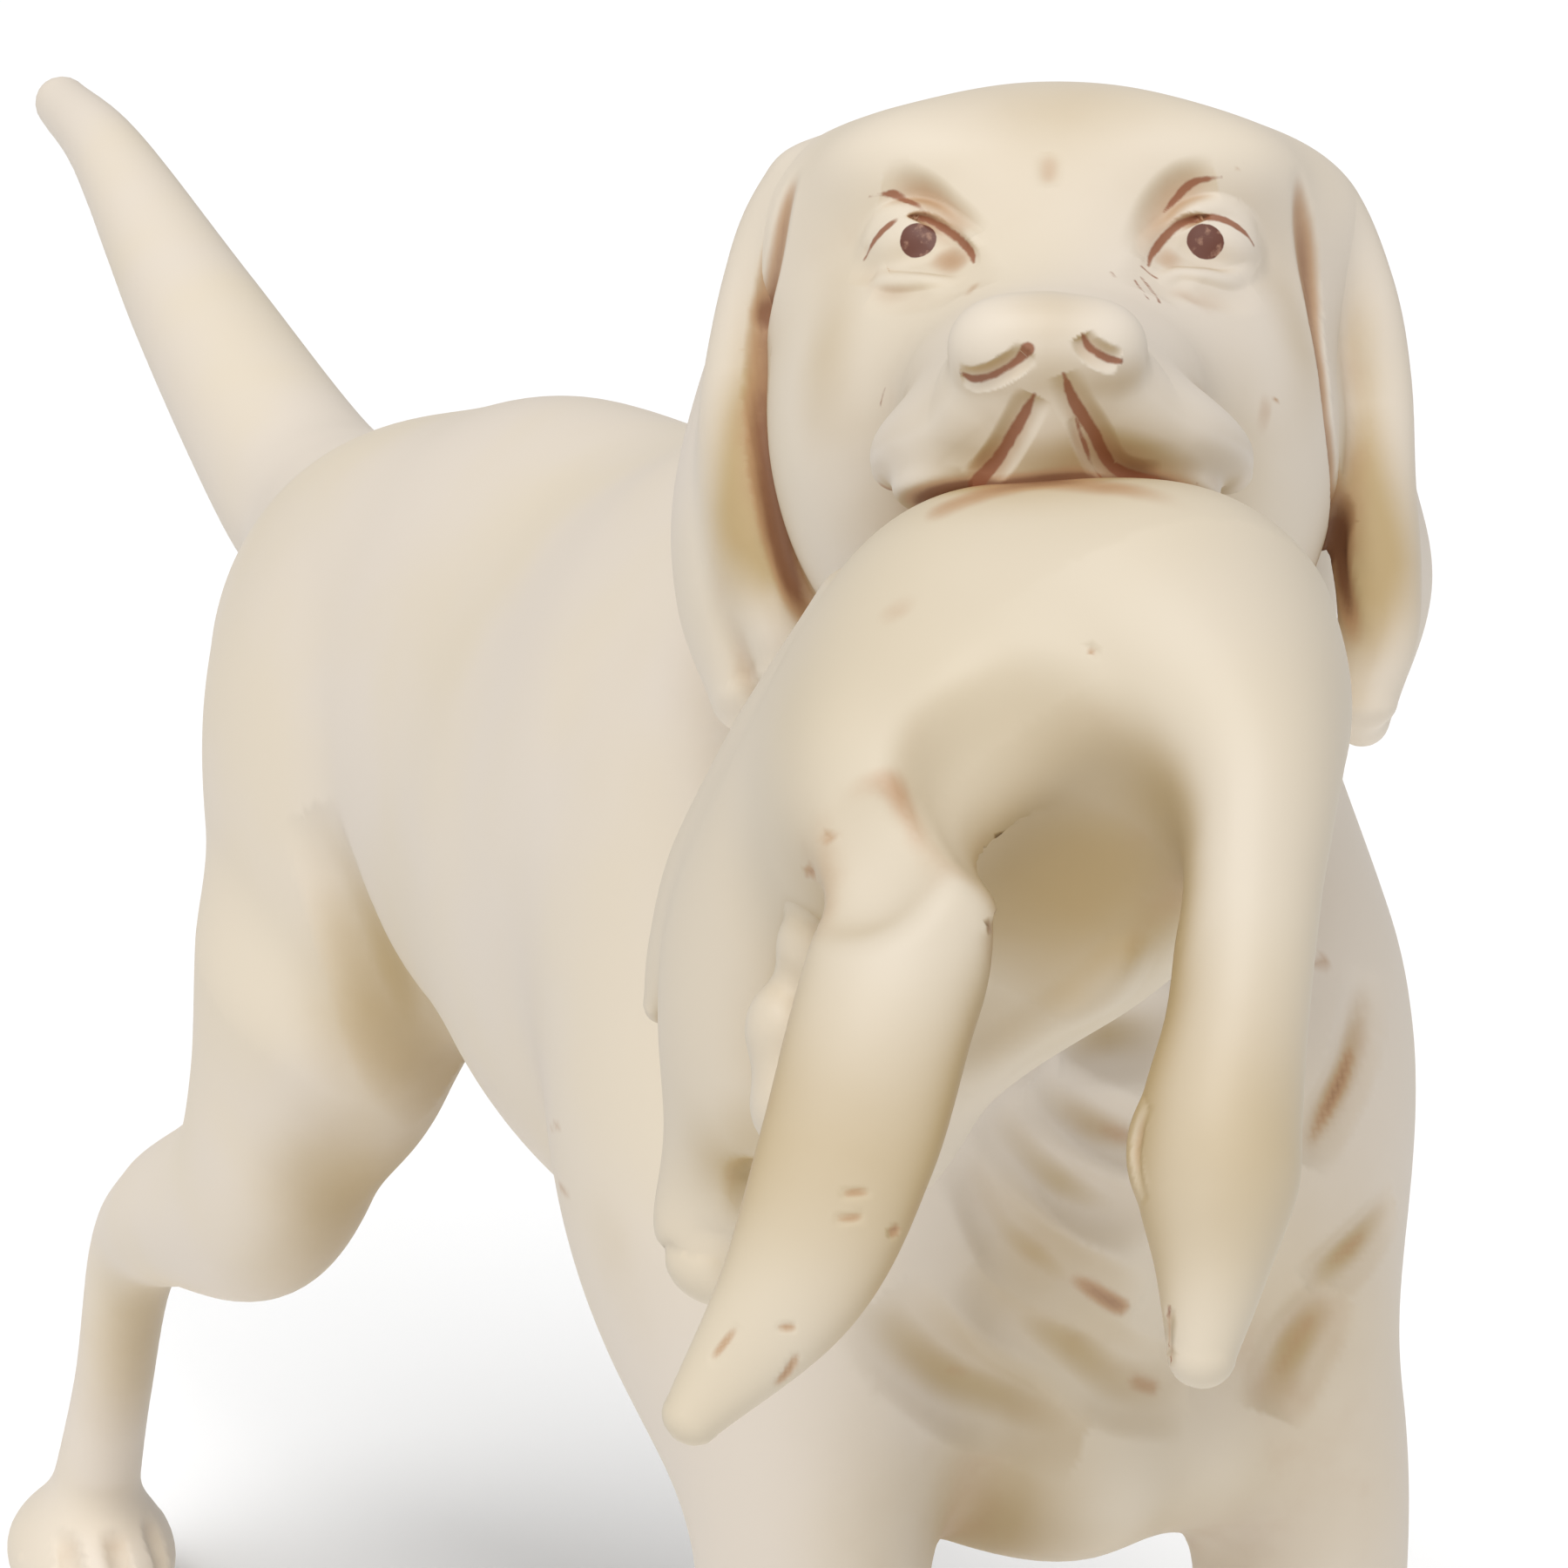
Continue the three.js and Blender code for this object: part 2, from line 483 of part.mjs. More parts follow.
// Surface: a vertex for each sheet in each cell, moved onto the shape, joined by quads round grid edges
function gridSurface(shape, low, cell, counts) {
  const [nx, ny, nz] = counts
  const index = (i, j, k) => (k * ny + j) * nx + i
  const values = new Float64Array(nx * ny * nz)
  for (let k = 0; k < nz; k++) {
    for (let j = 0; j < ny; j++) {
      for (let i = 0; i < nx; i++) {
        values[index(i, j, k)] = shape(low.x + i * cell, low.y + j * cell, low.z + k * cell)
      }
    }
  }
  const vertexOf = new Map()
  const points = []
  for (let k = 0; k + 1 < nz; k++) {
    for (let j = 0; j + 1 < ny; j++) {
      for (let i = 0; i + 1 < nx; i++) {
        const here = corners.map(([x, y, z]) => values[index(i + x, j + y, k + z)])
        const inside = here.map((d) => d < 0)
        if (inside.every((flag) => flag === inside[0])) continue
        const sums = new Map()
        for (const [edge, sheet] of sheetsOf(inside)) {
          const [a, b] = cellEdges[edge]
          const t = here[a] / (here[a] - here[b])
          const crossing = v(...corners[a]).lerp(v(...corners[b]), t)
          if (!sums.has(sheet)) sums.set(sheet, { sum: v(0, 0, 0), edges: [] })
          sums.get(sheet).sum.add(crossing)
          sums.get(sheet).edges.push(edge)
        }
        for (const { sum, edges } of sums.values()) {
          for (const edge of edges) vertexOf.set(index(i, j, k) * 12 + edge, points.length)
          const start = sum.divideScalar(edges.length).add(v(i, j, k)).multiplyScalar(cell).add(low)
          points.push(ontoSurface(shape, start, cell))
        }
      }
    }
  }
  const quads = []
  const cellsRound = [
    [[0, 0, 0], [0, -1, 0], [0, -1, -1], [0, 0, -1]],
    [[0, 0, 0], [0, 0, -1], [-1, 0, -1], [-1, 0, 0]],
    [[0, 0, 0], [-1, 0, 0], [-1, -1, 0], [0, -1, 0]],
  ]
  for (let k = 1; k + 1 < nz; k++) {
    for (let j = 1; j + 1 < ny; j++) {
      for (let i = 1; i + 1 < nx; i++) {
        const within = values[index(i, j, k)] < 0
        for (let axis = 0; axis < 3; axis++) {
          const bit = 1 << axis
          const [x, y, z] = corners[bit]
          if (values[index(i + x, j + y, k + z)] < 0 === within) continue
          const ring = cellsRound[axis].map(([x, y, z]) => {
            const from = -x - 2 * y - 4 * z
            return vertexOf.get(index(i + x, j + y, k + z) * 12 + edgeNumber.get(`${from},${from | bit}`))
          })
          quads.push(within ? ring : ring.reverse())
        }
      }
    }
  }
  return { points, quads }
}

function ontoSurface(shape, start, cell) {
  const p = start.clone()
  const h = 0.02
  for (let pass = 0; pass < 4; pass++) {
    const d = shape(p.x, p.y, p.z)
    const g = v(
      shape(p.x + h, p.y, p.z) - shape(p.x - h, p.y, p.z),
      shape(p.x, p.y + h, p.z) - shape(p.x, p.y - h, p.z),
      shape(p.x, p.y, p.z + h) - shape(p.x, p.y, p.z - h),
    ).multiplyScalar(0.5 / h)
    const steep = Math.max(g.lengthSq(), 0.05)
    p.addScaledVector(g, -d / steep)
    const moved = p.clone().sub(start)
    if (moved.length() > cell * 0.45) p.copy(start).addScaledVector(moved.normalize(), cell * 0.45)
  }
  return p
}

// Splits the quads along their shorter diagonal, and says whether every edge has two faces
function trianglesOf({ points, quads }) {
  const triangles = []
  const edges = new Map()
  for (const [a, b, c, d] of quads) {
    const short = points[a].distanceToSquared(points[c]) <= points[b].distanceToSquared(points[d])
    const pair = short ? [[a, b, c], [a, c, d]] : [[a, b, d], [b, c, d]]
    triangles.push(...pair)
  }
  for (const t of triangles) {
    for (let i = 0; i < 3; i++) {
      const from = t[i]
      const to = t[(i + 1) % 3]
      const key = from < to ? `${from},${to}` : `${to},${from}`
      edges.set(key, (edges.get(key) ?? 0) + 1)
    }
  }
  let closed = true
  for (const count of edges.values()) if (count !== 2) closed = false
  return { triangles, closed }
}

// Keeps the largest connected skin, so that a stray bubble never becomes a piece of its own
function largestSkin(points, triangles) {
  const parent = points.map((_, i) => i)
  const root = (i) => {
    while (parent[i] !== i) i = parent[i] = parent[parent[i]]
    return i
  }
  for (const [a, b, c] of triangles) {
    parent[root(a)] = root(b)
    parent[root(b)] = root(c)
  }
  const sizes = new Map()
  for (const t of triangles) sizes.set(root(t[0]), (sizes.get(root(t[0])) ?? 0) + 1)
  const best = [...sizes.entries()].sort((p, q) => q[1] - p[1])[0][0]
  return triangles.filter((t) => root(t[0]) === best)
}

function solidOf(points, triangles) {
  const used = new Map()
  const vertProperties = []
  const triVerts = []
  for (const t of triangles) {
    for (const i of t) {
      if (!used.has(i)) {
        used.set(i, used.size)
        vertProperties.push(points[i].x, points[i].y, points[i].z)
      }
      triVerts.push(used.get(i))
    }
  }
  return new wasm.Manifold(new wasm.Mesh({
    numProp: 3,
    vertProperties: new Float32Array(vertProperties),
    triVerts: new Uint32Array(triVerts),
  }))
}

// How far a point lies outside a box
function outsideBox(box, x, y, z) {
  return Math.max(
    box.min.x - x, x - box.max.x,
    box.min.y - y, y - box.max.y,
    box.min.z - z, z - box.max.z,
  )
}

// Facets a shape inside a box. A grid that happens to give an edge four faces is moved a little.
function faceted(whole, cell, box = whole.box) {
  const shape = (x, y, z) => Math.max(whole(x, y, z), outsideBox(box, x, y, z))
  for (let attempt = 0; attempt < 12; attempt++) {
    const nudge = cell * (0.137 + 0.31 * attempt) % cell
    const low = box.min.clone().subScalar(2 * cell + nudge)
    const span = box.max.clone().sub(low).addScalar(2 * cell)
    const counts = [span.x, span.y, span.z].map((s) => Math.ceil(s / cell) + 1)
    const surface = gridSurface(shape, low, cell, counts)
    const { triangles, closed } = trianglesOf(surface)
    if (closed) return solidOf(surface.points, largestSkin(surface.points, triangles))
  }
  throw new Error('no closed surface at this facet size')
}

// A block that fills the far side of a plane. Every plane that cuts is kept, for the tidying below.
const cuts = []

function farSide(p, size = 4 * dog.box.getSize(v()).length()) {
  cuts.push(p)
  const geometry = new THREE.BoxGeometry(size, size, size)
  const turned = new THREE.Quaternion().setFromUnitVectors(v(0, 0, 1), p.n)
  geometry.applyQuaternion(turned)
  geometry.translate(...p.at.clone().addScaledVector(p.n, size / 2).toArray())
  return blockSolid(geometry)
}

// Box and cylinder geometries repeat their corners for each face, so equal ones are merged first
function blockSolid(geometry) {
  geometry.deleteAttribute('normal')
  geometry.deleteAttribute('uv')
  const merged = mergeVertices(geometry, 1e-4)
  return new wasm.Manifold(new wasm.Mesh({
    numProp: 3,
    vertProperties: new Float32Array(merged.getAttribute('position').array),
    triVerts: new Uint32Array(merged.index.array),
  }))
}

// Cuts a shape out of its surroundings: it lies on the far side of every plane given
function casting(shape, planes, cell, box = shape.box) {
  const slack = 1.6 * cell
  const held = (x, y, z) => {
    let d = shape(x, y, z)
    for (const p of planes) d = Math.max(d, -distanceTo(p, x, y, z) - slack)
    return d
  }
  let solid = faceted(held, cell, box)
  for (const p of planes) solid = solid.subtract(farSide(flip(p === floor ? p : shifted(p, jointGap / 2))))
  return solid
}

// The block that the planes enclose, grown by the gap, to clear one piece from another
function clearance(planes) {
  let solid = farSide(shifted(planes[0], -jointGap / 2))
  for (const p of planes.slice(1)) solid = solid.intersect(farSide(shifted(p, -jointGap / 2)))
  return solid
}

const forelegPlanes = (s) => [floor, armpit(s), flip(behindForelegs), side(s)]
const hindlegPlanes = (s) => [floor, hindJoint, behindForelegs, side(s), flip(tailJoint)]
const torsoBox = reachOf(torsoShapes(), castingRoom)
const headBox = reachOf(headShapes(), castingRoom)

function dogTorso() {
  const planes = [flip(neckJoint), flip(tailJoint)]
  let solid = casting(dog, planes, facet.torso, torsoBox)
  const hollow = casting(swollen(dog, -bodyWall), planes.map(past), cavityFacet.torso, torsoBox)
  for (const s of sides) {
    solid = solid.subtract(clearance(forelegPlanes(s)))
    solid = solid.subtract(clearance(hindlegPlanes(s)))
  }
  const vent = new THREE.CylinderGeometry(ventRadius, ventRadius, 2 * loin.up, 16)
  vent.rotateX(Math.PI / 2)
  vent.translate(0, loin.y - 12, rise(loin) - loin.up)
  return solid.subtract(hollow).subtract(blockSolid(vent))
}

function dogHead() {
  const solid = casting(dog, [neckJoint], facet.head, headBox)
  const hollow = casting(swollen(dog, -bodyWall), [past(neckJoint)], cavityFacet.head, headBox)
  return solid.subtract(hollow).subtract(duckSkin)
}

const centreOf = (box) => box.getCenter(v())
const forelegBox = (s) => reachOf(forelegShapes(s), castingRoom)
const duckSkin = faceted(swollen(duck, nestleGap), facet.duckBody)
const dogSkin = faceted(swollen(dog, nestleGap), facet.head, reachOf(headShapes()))

const castings = {}
castings.dog_torso = dogTorso()
castings.dog_head = dogHead()
castings.ear_left = faceted(earShape('left', 1), facet.flap).subtract(dogSkin)
castings.ear_right = faceted(earShape('right', -1), facet.flap).subtract(dogSkin)
castings.foreleg_left = casting(dog, forelegPlanes(1), facet.leg, forelegBox(1))
castings.foreleg_right = casting(dog, forelegPlanes(-1), facet.leg, forelegBox(-1))
castings.hindleg_left = casting(dog, hindlegPlanes(1), facet.leg, reachOf(hindlegLeft, castingRoom))
castings.hindleg_right = casting(dog, hindlegPlanes(-1), facet.leg, reachOf(hindlegRight, castingRoom))
castings.tail = casting(dog, [tailJoint], facet.tail, reachOf(tailShapes()))

const duckBodyPlanes = [flip(duckFront), flip(duckVent)]
castings.duck_body = casting(duck, duckBodyPlanes, facet.duckBody)
  .subtract(casting(swollen(duck, -duckWall), duckBodyPlanes.map(past), facet.duckBody))
castings.duck_neck_head = casting(duck, [duckFront, duckMiddle], facet.duckPart)
castings.duck_near_wing = casting(duck, [duckFront, flip(duckMiddle)], facet.duckPart)
castings.duck_tail = casting(duck, [flip(duckFront), duckVent], facet.duckPart)
castings.duck_far_wing = faceted(duckFarWing(), facet.flap).subtract(duckSkin)
castings.duck_feet = faceted(duckFeet(), facet.foot).subtract(duckSkin)

// Leaves out the crumbs that a cut leaves beside a piece
function mainBody(solid) {
  return solid.decompose().sort((a, b) => b.volume() - a.volume())[0]
}

// Takes out the edges that a cut left too short to matter. A point on a cut stays on it.
function tidied(solid) {
  const mesh = solid.getMesh()
  const points = []
  for (let i = 0; i < mesh.numVert; i++) points.push(v().fromArray(mesh.vertProperties, i * 3))
  const onCut = points.map((p) => cuts.map((c, n) => (Math.abs(distanceTo(c, p.x, p.y, p.z)) < 1e-3 ? n : -1)))
    .map((list) => new Set(list.filter((n) => n >= 0)))
  const triangles = []
  for (let i = 0; i < mesh.triVerts.length; i += 3) triangles.push([...mesh.triVerts.subarray(i, i + 3)])
  const facesAt = points.map(() => new Set())
  triangles.forEach((t, n) => t.forEach((i) => facesAt[i].add(n)))
  const neighbours = (i) => new Set([...facesAt[i]].flatMap((n) => triangles[n]).filter((j) => j !== i))
  const normal = (a, b, c) => b.clone().sub(a).cross(c.clone().sub(a))
  const collapse = (drop, keep) => {
    const shared = neighbours(keep)
    const common = [...neighbours(drop)].filter((i) => shared.has(i))
    if (common.length !== 2 || common.some((i) => facesAt[i].size < 4)) return false
    if ([...onCut[drop]].some((n) => !onCut[keep].has(n))) return false
    for (const n of facesAt[drop]) {
      const t = triangles[n]
      if (t.includes(keep)) continue
      const before = normal(...t.map((i) => points[i]))
      const after = normal(...t.map((i) => points[i === drop ? keep : i]))
      if (before.dot(after) < 0.1 * before.length() * after.length()) return false
    }
    for (const n of [...facesAt[drop]]) {
      const t = triangles[n]
      if (t.includes(keep)) {
        t.forEach((i) => facesAt[i].delete(n))
        triangles[n] = null
      } else {
        t[t.indexOf(drop)] = keep
        facesAt[keep].add(n)
      }
    }
    facesAt[drop].clear()
    return true
  }
  let changed = true
  while (changed) {
    changed = false
    for (const t of triangles) {
      if (!t) continue
      for (const [a, b] of [[t[0], t[1]], [t[1], t[2]], [t[2], t[0]]]) {
        if (points[a].distanceTo(points[b]) > shortEdge) continue
        if (!collapse(a, b) && !collapse(b, a)) continue
        changed = true
        break
      }
    }
  }
  return { points, triangles: triangles.filter(Boolean) }
}

// Scene: one glaze over every casting, stood so that the origin is under the middle of its box
const glaze = { color: 0xe2d8c8, roughness: 0.22, metalness: 0 }
const group = new THREE.Group()
for (const [name, solid] of Object.entries(castings)) {
  const { points, triangles } = tidied(mainBody(solid))
  const geometry = new THREE.BufferGeometry().setFromPoints(points)
  geometry.setIndex(triangles.flat())
  geometry.computeVertexNormals()
  const piece = new THREE.Mesh(geometry, new THREE.MeshStandardMaterial(glaze))
  piece.name = name
  group.add(piece)
}
const footprint = centreOf(new THREE.Box3().setFromObject(group))
group.position.set(-footprint.x, -footprint.y, 0)

export default group
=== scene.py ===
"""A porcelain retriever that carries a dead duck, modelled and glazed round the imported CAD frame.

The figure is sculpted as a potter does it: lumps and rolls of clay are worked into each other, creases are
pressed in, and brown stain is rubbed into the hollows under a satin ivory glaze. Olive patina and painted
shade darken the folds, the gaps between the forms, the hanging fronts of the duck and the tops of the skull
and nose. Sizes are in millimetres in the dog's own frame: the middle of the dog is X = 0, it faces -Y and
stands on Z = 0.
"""

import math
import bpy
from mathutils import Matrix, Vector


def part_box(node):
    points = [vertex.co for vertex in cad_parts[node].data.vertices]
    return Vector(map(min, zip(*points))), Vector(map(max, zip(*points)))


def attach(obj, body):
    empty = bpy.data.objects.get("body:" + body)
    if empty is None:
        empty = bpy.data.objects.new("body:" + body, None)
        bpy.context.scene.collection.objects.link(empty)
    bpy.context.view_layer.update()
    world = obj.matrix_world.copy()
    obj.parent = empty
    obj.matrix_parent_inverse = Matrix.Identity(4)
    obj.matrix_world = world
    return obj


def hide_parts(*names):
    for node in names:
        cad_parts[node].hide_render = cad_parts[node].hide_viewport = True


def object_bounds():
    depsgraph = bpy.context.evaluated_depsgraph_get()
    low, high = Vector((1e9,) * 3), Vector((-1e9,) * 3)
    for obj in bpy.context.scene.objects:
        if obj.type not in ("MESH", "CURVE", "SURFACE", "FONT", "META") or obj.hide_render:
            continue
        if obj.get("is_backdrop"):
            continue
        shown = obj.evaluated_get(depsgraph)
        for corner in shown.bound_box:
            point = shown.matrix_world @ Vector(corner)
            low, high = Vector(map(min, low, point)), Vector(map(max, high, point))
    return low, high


bl_info = {
    "name": "Porcelain Retriever",
    "version": (1, 0, 0),
    "blender": (4, 5, 0),
    "location": "3D View > Sidebar > Figurine",
    "description": "Sculpts and glazes a porcelain retriever with a duck in its mouth",
    "category": "Add Mesh",
}

from functools import lru_cache

import bpy
import numpy as np
import openvdb
from mathutils import Matrix, Vector

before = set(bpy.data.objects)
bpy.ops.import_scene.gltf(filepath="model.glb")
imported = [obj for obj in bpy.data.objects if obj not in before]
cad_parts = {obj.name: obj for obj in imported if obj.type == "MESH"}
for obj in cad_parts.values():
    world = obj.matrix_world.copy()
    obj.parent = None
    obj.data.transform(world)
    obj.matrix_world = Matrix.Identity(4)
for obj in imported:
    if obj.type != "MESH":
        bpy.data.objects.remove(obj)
cad_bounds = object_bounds()

MM = 0.001
GLAZED = "glazed_"
# Distances to clay are in single precision. They are right up to NEAR from its skin, and FAR in empty space.
REAL = np.float32
NEAR = 5.0
FAR = 30.0
# Clay is grown on a grid that is filled in blocks of this many cells along each axis. Blocks are filled
# whose middle lies within this many of their sides from the skin, and distances end this many cells off it.
BLOCK = 8
BLOCK_REACH = 1.3
BAND = 3
GRID_MARGIN = 4

# The dog's own frame: its tail lies on the mid-plane, and its tip is this far behind the origin
TAIL_TIP = 184.5
tail_low, tail_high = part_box("tail")
STAND = np.array([(tail_low[0] + tail_high[0]) / 2 / MM, tail_high[1] / MM - TAIL_TIP, 0.0])


def unit(direction):
    direction = np.asarray(direction, float)
    return direction / np.linalg.norm(direction)


# Head frame: the middle between the eyes, turned to the dog's right and lifted
EYES = np.array([-18.3, -99.6, 179.3])
HEAD_TURN = math.radians(31.5)
HEAD_LIFT = math.radians(19)
AHEAD = np.array([-math.sin(HEAD_TURN), -math.cos(HEAD_TURN), 0.0])
UPWARD = np.array([0.0, 0.0, 1.0])
HEAD_SIDE = np.cross(UPWARD, AHEAD)
HEAD_FORWARD = AHEAD * math.cos(HEAD_LIFT) + UPWARD * math.sin(HEAD_LIFT)
HEAD_UP = UPWARD * math.cos(HEAD_LIFT) - AHEAD * math.sin(HEAD_LIFT)
HEAD = np.stack([HEAD_SIDE, HEAD_FORWARD, HEAD_UP])
WORLD = np.eye(3)
MOUTH_FORWARD = 25.0
MOUTH_UP = -20.7

# The viewer stands ahead of the dog on its right, as in the photograph
VIEWER = np.array([-149.4, -325.0, 206.5])
VIEW_RIGHT = Vector((0.8965, -0.4431, 0.0))
VIEW_BACK = Vector((-0.4308, -0.8717, 0.2334))
LOOK_BACK = unit(VIEWER - EYES)


def on_dog(x, y, z):
    return np.array([x, y, z], float)


def on_head(side, forward, up):
    return EYES + side * HEAD_SIDE + forward * HEAD_FORWARD + up * HEAD_UP


def on_duck(side, forward, hang):
    return on_head(side, MOUTH_FORWARD + forward, MOUTH_UP - hang)


# Clay: every shape gives the distance to its surface, negative inside
class Lump:
    """A ball of clay pressed to three half sizes."""

    def __init__(self, at, half, axes=WORLD):
        self.at = np.asarray(at, float)
        self.half = np.asarray(half, float)
        self.axes = np.asarray(axes, float)
        self.low = self.at - self.half.max()
        self.high = self.at + self.half.max()

    def distance(self, points):
        local = (points - self.at.astype(REAL)) @ self.axes.T.astype(REAL)
        scaled = local / self.half.astype(REAL)
        k = np.sqrt((scaled * scaled).sum(1))
        steep = scaled / self.half.astype(REAL)
        g = np.sqrt((steep * steep).sum(1))
        return k * (k - 1) / np.maximum(g, REAL(1e-6))


class Curve:
    """A Catmull-Rom curve through rows of numbers. The first three of each row are a place."""

    def __init__(self, rows, steps=6):
        rows = np.asarray(rows, float)
        padded = np.vstack([2 * rows[0] - rows[1], rows, 2 * rows[-1] - rows[-2]])
        a, b, c, d = padded[:-3], padded[1:-2], padded[2:-1], padded[3:]
        powers = [2 * b, c - a, 2 * a - 5 * b + 4 * c - d, 3 * b - a - 3 * c + d]
        self.powers = (np.stack(powers, 1) / 2).astype(REAL)
        self.spans = len(rows) - 1
        self.step = REAL(1 / steps)
        self.marks = np.arange(self.spans * steps + 1, dtype=REAL) / steps
        self.samples = self.at(self.marks)[0][:, :3]
        self.squares = (self.samples * self.samples).sum(1)

    def at(self, u):
        """The row at each place along the curve, its slope and its bend."""
        span = np.minimum(u.astype(np.int32), self.spans - 1)
        t = (u - span)[:, None]
        p0, p1, p2, p3 = np.moveaxis(self.powers[span], 1, 0)
        row = ((p3 * t + p2) * t + p1) * t + p0
        slope = (3 * p3 * t + 2 * p2) * t + p1
        bend = 6 * p3 * t + 2 * p2
        return row, slope, bend

    def nearest(self, points):
        """How far along the curve the place nearest each point lies."""
        u = self.marks[(self.squares - 2 * points @ self.samples.T).argmin(1)]
        for _ in range(2):
            row, slope, bend = self.at(u)
            gap = row[:, :3] - points
            along = slope[:, :3]
            run = (along * along).sum(1)
            turn = np.maximum(run + (gap * bend[:, :3]).sum(1), 0.3 * run)
            u = u - np.clip((gap * along).sum(1) / turn, -self.step, self.step)
            u = np.clip(u, 0, self.spans)
        return u


def apart(shape, low, high):
    """How far a shape's box lies from a box of points, at least along one axis."""
    return max(
        shape.low[0] - high[0], low[0] - shape.high[0],
        shape.low[1] - high[1], low[1] - shape.high[1],
        shape.low[2] - high[2], low[2] - shape.high[2],
    )


class Roll:
    """A roll of clay through rows of a place, a half width and a half thickness."""

    def __init__(self, rows, wide_axis):
        rows = np.array(rows, float)
        self.curve = Curve(rows)
        self.wide_axis = np.asarray(wide_axis, REAL)
        reach = rows[:, 3:].max()
        self.low = self.curve.samples.min(0) - reach
        self.high = self.curve.samples.max(0) + reach

    def distance(self, points):
        row, slope, _ = self.curve.at(self.curve.nearest(points))
        along = slope[:, :3]
        along /= np.sqrt((along * along).sum(1))[:, None]
        wide = self.wide_axis - along * (along @ self.wide_axis)[:, None]
        wide /= np.sqrt((wide * wide).sum(1))[:, None]
        gap = points - row[:, :3]
        over = (gap * along).sum(1)
        across = (gap * wide).sum(1)
        deep = (gap * np.cross(along, wide)).sum(1)
        least = np.minimum(row[:, 3], row[:, 4])
        across *= least / row[:, 3]
        deep *= least / row[:, 4]
        return np.sqrt(across * across + deep * deep + over * over) - least


def roll(place, rows, wide_axis=WORLD[0]):
    """A roll through rows of a place, a half width and, where it differs, a half thickness."""
    return Roll([[*place(*row[:3]), row[3], row[-1]] for row in rows], wide_axis)


def smooth_min(a, b, blend):
    h = np.maximum(blend - np.abs(a - b), 0) / REAL(blend)
    return np.minimum(a, b) - h * h * REAL(blend * 0.25)


# What is done with a shape: it is added, taken away, or pressed in as a crease
class Added:
    def __init__(self, shape, blend):
        self.shape = shape
        self.blend = blend
        self.low = shape.low
        self.high = shape.high

    def margin(self, reach):
        """How far off the step still changes distances up to this reach."""
        return self.blend + reach

    def work(self, points, d):
        return smooth_min(d, self.shape.distance(points), self.blend)


def lumps(place, axes, rows):
    """Adds lumps from rows of a place, three half sizes and how widely each is worked in."""
    return [Added(Lump(place(*row[:3]), row[3:6], axes), row[6]) for row in rows]


class Taken(Added):
    def work(self, points, d):
        return -smooth_min(-d, self.shape.distance(points), self.blend)


class Crease:
    """A line pressed into the clay, or raised where its depth is negative. It fades at its ends."""

    def __init__(self, places, width, depth=0.0, stain=0.0, fullness=2.5):
        self.curve = Curve(places)
        self.fullness = fullness
        self.width = width
        self.depth = depth
        self.stain = stain
        self.low = self.curve.samples.min(0) - width
        self.high = self.curve.samples.max(0) + width

    def margin(self, reach):
        return 0.0

    def profile(self, points):
        u = self.curve.nearest(points)
        gap = points - self.curve.at(u)[0]
        across = np.maximum(1 - (gap * gap).sum(1) / REAL(self.width ** 2), 0) ** 2
        along = 1 - np.abs(2 * u / self.curve.spans - 1) ** REAL(self.fullness)
        return across * along

    def work(self, points, d):
        return d + REAL(self.depth) * self.profile(points) if self.depth else d


class StainAndShadeWash(Crease):
    """Olive stain and painted shade laid on open skin, which change its colour and not its form."""

    def __init__(self, places, width, stain, fullness=1.4):
        super().__init__(places, width, 0.0, stain, fullness)


class Stroke:
    """A brush stroke through places on the clay, each with half the width of the stroke there."""

    def __init__(self, places, halves):
        self.curve = Curve(np.column_stack([places, halves]))
        self.low = self.curve.samples.min(0)
        self.high = self.curve.samples.max(0)

    def edge(self, points):
        """How far points lie outside the stroke, negative on it."""
        row = self.curve.at(self.curve.nearest(points))[0]
        gap = points - row[:, :3]
        return np.sqrt((gap * gap).sum(1)) - row[:, 3]


class Union:
    """The nearest of the shapes of some steps."""

    def __init__(self, clay):
        self.shapes = [step.shape for step in clay]
        self.low = np.min([shape.low for shape in self.shapes], 0)
        self.high = np.max([shape.high for shape in self.shapes], 0)

    def distance(self, points):
        return np.min([shape.distance(points) for shape in self.shapes], 0)


class Lowered:
    """Everything worked so far, with its skin drawn in by a depth."""

    def __init__(self, depth, clay):
        self.depth = depth
        self.low = np.min([step.low for step in clay], 0)
        self.high = np.max([step.high for step in clay], 0)

    def margin(self, reach):
        return reach

    def work(self, points, d):
        return d + REAL(self.depth)


class Kept(Added):
    """Keeps only what lies within a reach of the shape, which is the blend here."""

    def margin(self, reach):
        return 1e6

    def work(self, points, d):
        return np.maximum(d, self.shape.distance(points) - REAL(self.blend))


def sculpted(points, clay, reach=NEAR):
    """Distance to the worked clay for points that lie near each other, right within reach of its surface."""
    low, high = points.min(0), points.max(0)
    d = np.full(len(points), REAL(FAR))
    for step in clay:
        if apart(step, low, high) <= step.margin(reach):
            d = step.work(points, d)
    return d


def in_patches(points, measure, width=1, patch=12.0):
    """Runs a measure that gives some numbers for each point over many points, a patch at a time."""
    points = np.asarray(points, REAL)
    cells = np.floor((points - points.min(0)) / patch).astype(np.int64)
    key = (cells[:, 0] * 1000 + cells[:, 1]) * 1000 + cells[:, 2]
    order = np.argsort(key, kind="stable")
    starts = np.flatnonzero(np.diff(key[order])) + 1
    result = np.empty((len(points), width), REAL)
    for group in np.split(order, starts):
        result[group] = np.reshape(measure(points[group]), (width, -1)).T
    return result


def distance_to(clay, points, reach=NEAR):
    return in_patches(points, lambda patch: sculpted(patch, clay, reach))[:, 0]


